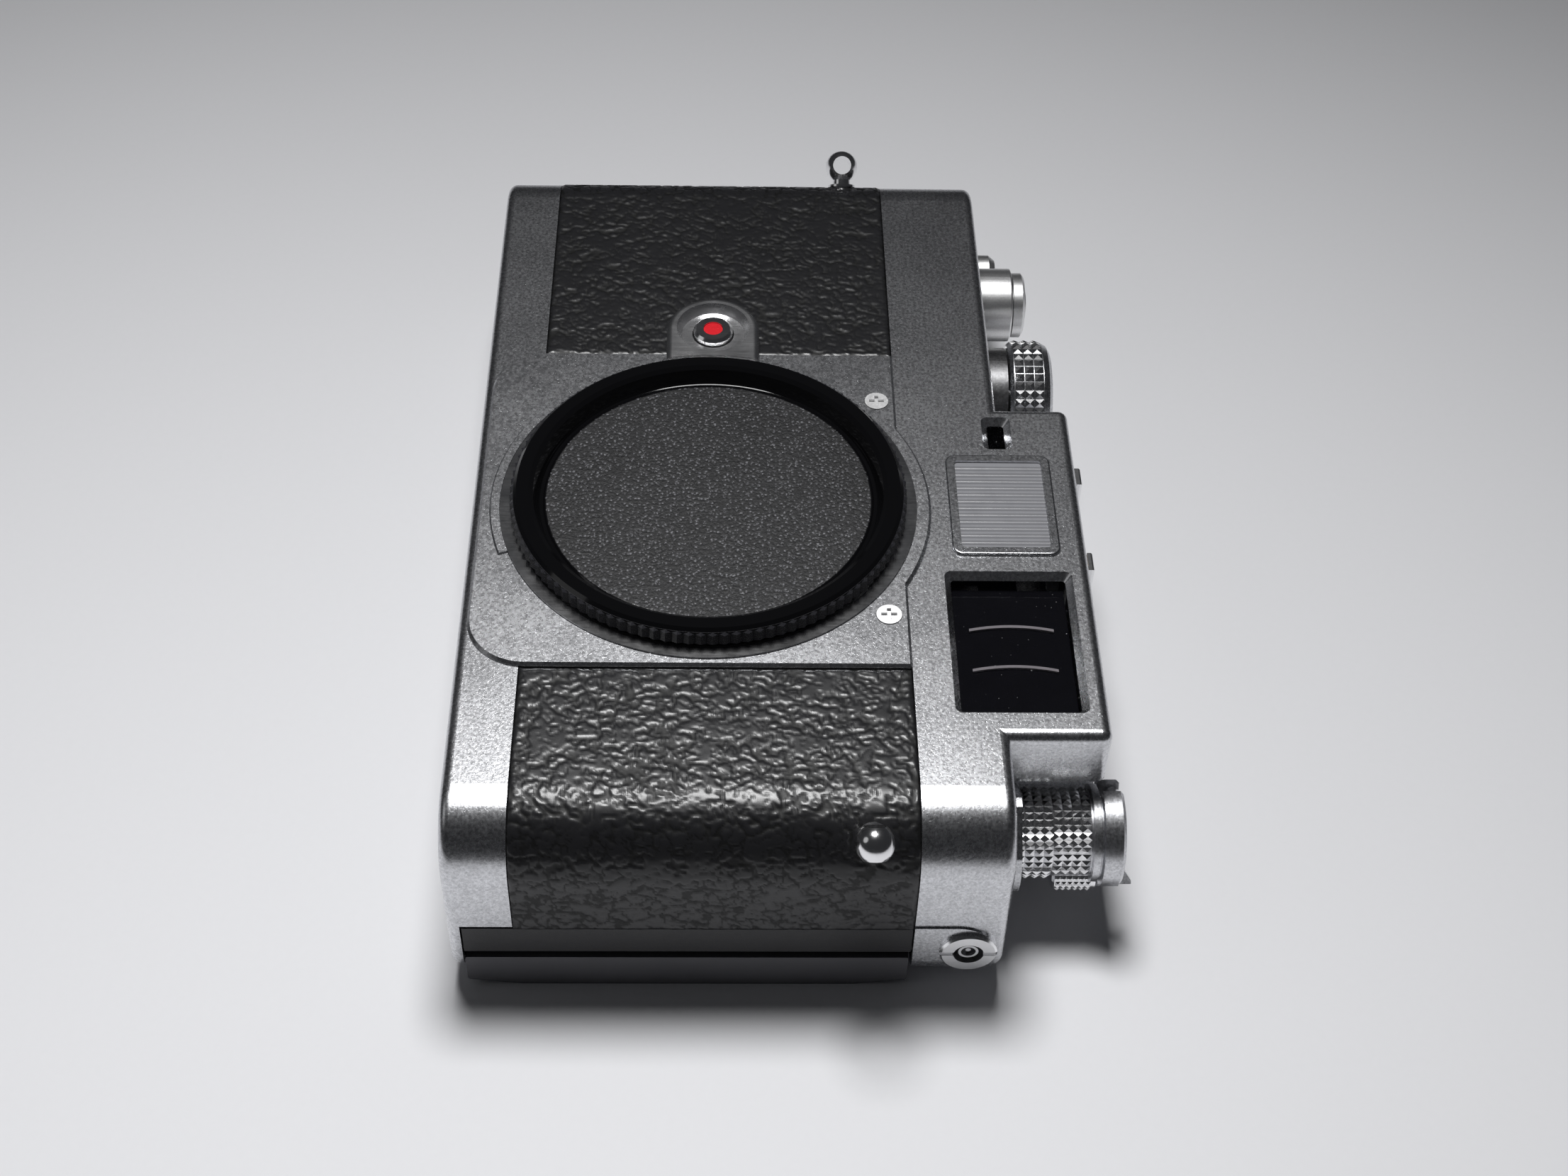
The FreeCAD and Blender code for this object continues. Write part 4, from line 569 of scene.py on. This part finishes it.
class CAMERA_OT_cap(CameraStep, bpy.types.Operator):
    """Finish the body cap and cut its ribbed edge"""
    bl_idname = "camera_body.cap"
    bl_label = "Body cap"

    def execute(self, context):
        low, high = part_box("body_cap")
        centre = (low + high) / 2
        cap_r = (high.x - low.x) / 2
        plastic = cap_plastic("cap plastic", self.colours().cap, 22.5 * MM)
        paint(plastic, "body_cap")
        points, faces = edge_ribs(around_z(centre.x, centre.y), cap_r - 0.02 * MM, self.sizes().rib_depth,
                                  high.z - 2.65 * MM, high.z - 0.45 * MM, self.sizes().cap_ribs, 0.3 * MM)
        # Painted light: the ribs get a lighter copy of the cap's black, standing in for the reflections along them.
        ribs_painted_lighter = satin_plastic("rib plastic painted lighter", rgb(self.colours().cap, 2.2), 0.26)
        add_piece("cap_ribs", points, faces, ribs_painted_lighter, "cap")
        return {"FINISHED"}


class CAMERA_OT_front_fittings(CameraStep, bpy.types.Operator):
    """Finish the mount, the lens release, the screws and the strap lugs"""
    bl_idname = "camera_body.front_fittings"
    bl_label = "Front fittings"

    def execute(self, context):
        chrome = bright_metal("bright plating", self.colours().chrome)
        paint(chrome, "lens_mount_ring", "lens_release_button", "strap_lugs")
        paint(satin_silver("screw plating", self.colours().chrome, 0.42, 0.2 * MM, 0.4), "front_screws")
        paint(bright_metal("brushed plating", self.colours().chrome, 0.26), "lens_release_shroud")
        paint(enamel("red enamel", self.colours().red), "lens_release_dot")
        return {"FINISHED"}


class CAMERA_OT_windows(CameraStep, bpy.types.Operator):
    """Glaze the front windows and put pale lens edges behind the finder's glass as painted reflections"""
    bl_idname = "camera_body.windows"
    bl_label = "Windows"

    def execute(self, context):
        paint(dark_glass("finder glass", (0.003, 0.003, 0.004)), "viewfinder_window", "rangefinder_window")
        paint(frosted_glass("frosted window", self.colours().frost, middle("frame_window").x, 1.32 * MM),
              "frame_window")
        paint(satin_silver("bezel silver", self.colours().silver, 0.24), "frame_window_bezel")
        # Painted shade: the prisms and the film window are opaque and near black, standing in for the dark inside of
        # the body.
        paint(solid_glass("dark prism", (0.006, 0.006, 0.008)), "viewfinder_prism", "link_prism", "film_window")
        paint(solid_glass("half mirror", (0.02, 0.02, 0.026), 0.02), "rangefinder_mirror")
        low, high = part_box("viewfinder_prism")
        glass_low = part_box("viewfinder_window")[0].z
        # Painted reflections: pale strips stand for the lens edges, drawn light so they show as the reflection arcs
        # in the finder.
        edge = enamel("painted lens reflection", (0.30, 0.28, 0.30), 0.12)
        parts = [self.painted_lens_reflection(low, high, share, glass_low) for share in (0.34, 0.66)]
        points, faces = gathered(parts)
        add_piece("finder_painted_lens_reflections", points, faces, edge, BODY)
        return {"FINISHED"}

    def painted_lens_reflection(self, low, high, share, top):
        """One thin curved pale strip across the finder: a lens edge behind the glass, drawn as a painted reflection.
        """
        x = high.x - (high.x - low.x) * share
        inset = 2.0 * MM
        bow = 0.7 * MM
        width = 0.22 * MM
        count = 14
        upper = []
        lower = []
        for i in range(count + 1):
            t = 2 * i / count - 1
            y = (low.y + high.y) / 2 + t * ((high.y - low.y) / 2 - inset)
            arc = x - bow * (1 - t * t)
            upper.append((arc - width, y))
            lower.append((arc + width, y))
        outline = upper + lower[::-1]
        return slab(outline, high.z + 0.02 * MM, top - 0.05 * MM, lambda u, v, h: Vector((u, v, h)))


class CAMERA_OT_shoe(CameraStep, bpy.types.Operator):
    """Finish the accessory shoe"""
    bl_idname = "camera_body.shoe"
    bl_label = "Accessory shoe"

    def execute(self, context):
        paint(bright_metal("shoe plating", self.colours().chrome, 0.22), "accessory_shoe")
        paint(satin_plastic("shoe insulator", self.colours().plastic), "shoe_base")
        paint(turned_metal("contact brass", self.colours().brass), "shoe_contact", "roller")
        return {"FINISHED"}


class CAMERA_OT_rewind(CameraStep, bpy.types.Operator):
    """Finish the rewind knob and its crank, and cut their knurling"""
    bl_idname = "camera_body.rewind"
    bl_label = "Rewind knob"

    def execute(self, context):
        silver = satin_silver("knob silver", self.colours().silver, 0.30)
        chrome = bright_metal("knurl plating", self.colours().chrome, 0.2)
        paint(silver, "rewind_knob", "rewind_crank")
        paint(chrome, "crank_handle")
        knob_low, knob_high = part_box("rewind_knob")
        axis = middle("rewind_shaft")
        handle = middle("crank_handle")
        handle_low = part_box("crank_handle")[0].y
        knurl_r = 5.65 * MM
        depth = self.sizes().knurl_depth
        start = knob_low.y + 0.7 * MM
        split = handle_low - 0.55 * MM
        end = knob_low.y + 10.6 * MM
        row = (end - start) / 8
        low_rows = int((split - start) / row)
        spot = around_y(axis.x, axis.z)
        teeth = self.sizes().knob_teeth
        away = math.atan2(handle.z - axis.z, handle.x - axis.x)
        gap = 2 * math.pi * 4.5 / teeth
        join = start + low_rows * row
        parts = [pyramid_knurl(spot, knurl_r, depth, start, join, teeth, low_rows),
                 pyramid_knurl(spot, knurl_r, depth, join, end, teeth - 9, 8 - low_rows,
                               (away + gap, away + 2 * math.pi - gap))]
        points, faces = gathered(parts)
        add_piece("rewind_knurl", points, faces, chrome, "rewind")
        grip_r = 2.2 * MM
        points, faces = pyramid_knurl(around_y(handle.x, handle.z), grip_r - 0.02 * MM, 0.2 * MM,
                                      handle_low + 0.4 * MM, handle_low + 5.2 * MM, 18, 6)
        add_piece("crank_handle_knurl", points, faces, chrome, "crank_grip")
        return {"FINISHED"}


class CAMERA_OT_release_side(CameraStep, bpy.types.Operator):
    """Finish the advance lever, the release and the frame counter"""
    bl_idname = "camera_body.release_side"
    bl_label = "Advance and release"

    def execute(self, context):
        hub = satin_silver("turned plating", self.colours().chrome, 0.36, 0.16 * MM, 0.35)
        paint(hub, "advance_lever", "release_collar", "release_button", "counter_housing")
        paint(satin_plastic("thumb piece", self.colours().plastic, 0.4), "advance_lever_tip")
        paint(dark_glass("counter glass", (0.02, 0.02, 0.02)), "counter_lens")
        paint(satin_plastic("counter disc black", self.colours().plastic, 0.5), "counter_disc")
        return {"FINISHED"}


class CAMERA_OT_speed_dial(CameraStep, bpy.types.Operator):
    """Finish the speed dial, cut its knurling and engrave its numbers"""
    bl_idname = "camera_body.speed_dial"
    bl_label = "Speed dial"

    def execute(self, context):
        silver = satin_silver("dial silver", self.colours().silver, 0.28)
        chrome = bright_metal("dial knurl plating", self.colours().chrome, 0.18)
        paint(silver, "speed_dial")
        # Painted shade: the collar under the dial gets a darker copy of the silver.
        paint(satin_silver("collar silver shaded", [0.4 * c for c in self.colours().steel], 0.38), "dial_collar")
        low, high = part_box("speed_dial")
        axis = middle("speed_dial")
        r = (high.x - low.x) / 2
        points, faces = pyramid_knurl(around_y(axis.x, axis.z), r - 0.02 * MM, self.sizes().knurl_depth,
                                      high.y - 5.9 * MM, high.y - 1.45 * MM, self.sizes().dial_teeth, 3)
        add_piece("dial_knurl", points, faces, chrome, "dial")
        self.numbers(axis, high.y, r)
        return {"FINISHED"}

    def numbers(self, axis, top, r):
        """Shutter times round the top, filled with black."""
        black = enamel("filled black", (0.02, 0.02, 0.02))
        words = ["B", "1", "2", "4", "8", "15", "30", "60", "125", "250", "500", "1000"]
        parts = []
        for i, word in enumerate(words):
            angle = math.radians(25 * (i - (len(words) - 1) / 2))
            curve = bpy.data.curves.new("number", "FONT")
            curve.body = word
            curve.align_x = "CENTER"
            curve.align_y = "CENTER"
            curve.size = 1.75 * MM
            curve.extrude = 0.02 * MM
            text = bpy.data.objects.new("number", curve)
            bpy.context.scene.collection.objects.link(text)
            bpy.context.view_layer.update()
            mesh = bpy.data.meshes.new_from_object(text)
            turned = (Matrix.Translation((axis.x, top + 0.01 * MM, axis.z)) @ Matrix.Rotation(math.pi, 4, "Y")
                      @ Matrix.Rotation(angle, 4, "Y") @ Matrix.Translation((0, 0, -(r - 2.6 * MM)))
                      @ Matrix.Rotation(-math.pi / 2, 4, "X"))
            mesh.transform(turned)
            parts.append(([v.co.copy() for v in mesh.vertices], [tuple(p.vertices) for p in mesh.polygons]))
            bpy.data.objects.remove(text)
        points, faces = gathered(parts)
        add_piece("dial_numbers", points, faces, black, "dial")


class CAMERA_OT_back(CameraStep, bpy.types.Operator):
    """Finish the film door and the eyepiece"""
    bl_idname = "camera_body.back"
    bl_label = "Back"

    def execute(self, context):
        paint(satin_plastic("door plastic", self.colours().plastic, 0.42), "film_door")
        paint(satin_plastic("eyepiece rubber", self.colours().plastic, 0.6), "eyepiece_frame")
        paint(solid_glass("eyepiece glass", (0.03, 0.03, 0.035)), "eyepiece_lens")
        paint(turned_metal("pressure plate black", (0.06, 0.06, 0.06), 0.35), "pressure_plate")
        return {"FINISHED"}


class CAMERA_OT_insides(CameraStep, bpy.types.Operator):
    """Finish the casting, the film transport and the shutter"""
    bl_idname = "camera_body.insides"
    bl_label = "Insides"

    def execute(self, context):
        steel = turned_metal("plain steel", self.colours().steel)
        paint(steel, "rewind_shaft", "rewind_sleeve", "lock_pin", "film_sprocket", "hinge_pin", "roller_arm",
              "button_cells")
        paint(satin_plastic("blackened casting", (0.018, 0.018, 0.02), 0.38, 0.3 * MM, 0.03 * MM), "chassis")
        paint(satin_plastic("spool plastic", self.colours().plastic, 0.35), "take_up_spool")
        paint(turned_metal("blackened blades", (0.05, 0.05, 0.052), 0.4), "shutter_blade_upper",
              "shutter_blade_middle", "shutter_blade_lower", "shutter_frame")
        return {"FINISHED"}


class CAMERA_OT_small_fittings(CameraStep, bpy.types.Operator):
    """Finish the base fittings, the frame selector and the flash socket"""
    bl_idname = "camera_body.small_fittings"
    bl_label = "Small fittings"

    def execute(self, context):
        chrome = bright_metal("fitting plating", self.colours().chrome, 0.2)
        paint(chrome, "tripod_bush", "battery_cover", "rewind_release_button", "frame_selector", "sync_socket")
        centre = middle("sync_socket")
        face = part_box("sync_socket")[1].x
        outer = []
        count = 48
        for i in range(count):
            angle = 2 * math.pi * i / count
            outer.append((1.93 * MM * math.cos(angle), 1.93 * MM * math.sin(angle)))
        points, faces = slab(outer, face - 2.3 * MM, face - 2.1 * MM,
                             lambda u, v, h: Vector((h, centre.y + u, centre.z + v)))
        add_piece("sync_insulator", points, faces, satin_plastic("socket black", self.colours().plastic),
                  BODY)
        return {"FINISHED"}


# ---- stage ----------------------------------------------------------------------------------
class CAMERA_OT_stage(CameraStep, bpy.types.Operator):
    """Lay the paper, set the soft lights and place the view"""
    bl_idname = "camera_body.stage"
    bl_label = "Stage"

    def execute(self, context):
        self.paper()
        self.room()
        self.light("overhead", Vector((-0.10, -0.015, 0.55)), 0.20, 1.42, Vector((0.25, -0.035, 0.0)), 1.95)
        self.light("side", Vector((0.10, -0.80, 0.60)), 0.50, 0.25, Vector((0.05, 0.0, 0.0)), 3.1)
        self.viewpoint()
        return {"FINISHED"}

    def paper(self):
        reach = 3.0
        mesh = bpy.data.meshes.new("paper")
        mesh.from_pydata([(-reach, -reach, 0), (reach, -reach, 0), (reach, reach, 0), (-reach, reach, 0)], [],
                         [(0, 1, 2, 3)])
        mesh.materials.append(seamless_paper("seamless paper", self.colours().paper))
        paper = bpy.data.objects.new("paper", mesh)
        bpy.context.scene.collection.objects.link(paper)

    def room(self):
        world = bpy.data.worlds.new("studio")
        world.use_nodes = True
        background = world.node_tree.nodes["Background"]
        background.inputs["Color"].default_value = (0.80, 0.82, 0.88, 1)
        background.inputs["Strength"].default_value = 0.03
        bpy.context.scene.world = world

    def light(self, name, spot, size, power, aim, spread):
        lamp = bpy.data.lights.new(name, "AREA")
        lamp.spread = spread
        lamp.shape = "DISK"
        lamp.size = size
        lamp.energy = power
        holder = bpy.data.objects.new(name, lamp)
        holder.location = spot
        holder.rotation_euler = (aim - spot).to_track_quat("-Z", "Y").to_euler()
        bpy.context.scene.collection.objects.link(holder)

    def viewpoint(self):
        pitch = 0.8222
        yaw = -0.037
        roll = 0.033
        back = Vector((math.cos(pitch) * math.cos(yaw), math.cos(pitch) * math.sin(yaw), math.sin(pitch)))
        level = Vector((-math.sin(yaw), math.cos(yaw), 0))
        up = back.cross(level)
        right = math.cos(roll) * level + math.sin(roll) * up
        top = math.cos(roll) * up - math.sin(roll) * level
        turn = Matrix((right, top, back)).transposed()
        view = bpy.data.cameras.new("view")
        view.sensor_width = 36.0
        view.lens = 51.81
        view.clip_start = 0.01
        holder = bpy.data.objects.new("view", view)
        holder.matrix_world = Matrix.Translation((0.2206, 0.0026, 0.2519)) @ turn.to_4x4()
        bpy.context.scene.collection.objects.link(holder)
        bpy.context.scene.camera = holder
        bpy.context.scene.view_settings.view_transform = "Standard"


STEPS = (CAMERA_OT_stage, CAMERA_OT_covers, CAMERA_OT_covering, CAMERA_OT_cap, CAMERA_OT_front_fittings,
         CAMERA_OT_windows, CAMERA_OT_shoe, CAMERA_OT_rewind, CAMERA_OT_release_side, CAMERA_OT_speed_dial,
         CAMERA_OT_back, CAMERA_OT_insides, CAMERA_OT_small_fittings)


class CAMERA_PT_panel(bpy.types.Panel):
    """Lists the steps that build the camera"""
    bl_idname = "CAMERA_PT_panel"
    bl_label = "Camera Body"
    bl_space_type = "VIEW_3D"
    bl_region_type = "UI"
    bl_category = "Camera Body"

    def draw(self, context):
        for step in STEPS:
            self.layout.operator(step.bl_idname)
        for group in (context.scene.camera_sizes, context.scene.camera_colours):
            box = self.layout.box()
            for name in group.__annotations__:
                box.prop(group, name)


CLASSES = (CAMERA_PG_sizes, CAMERA_PG_colours) + STEPS + (CAMERA_PT_panel,)


def register():
    for made in CLASSES:
        bpy.utils.register_class(made)
    bpy.types.Scene.camera_sizes = PointerProperty(type=CAMERA_PG_sizes)
    bpy.types.Scene.camera_colours = PointerProperty(type=CAMERA_PG_colours)


def unregister():
    del bpy.types.Scene.camera_colours
    del bpy.types.Scene.camera_sizes
    for made in reversed(CLASSES):
        bpy.utils.unregister_class(made)


def main():
    register()
    for step in STEPS:
        area, name = step.bl_idname.split(".")
        getattr(getattr(bpy.ops, area), name)()


if __name__ == "__main__":
    main()
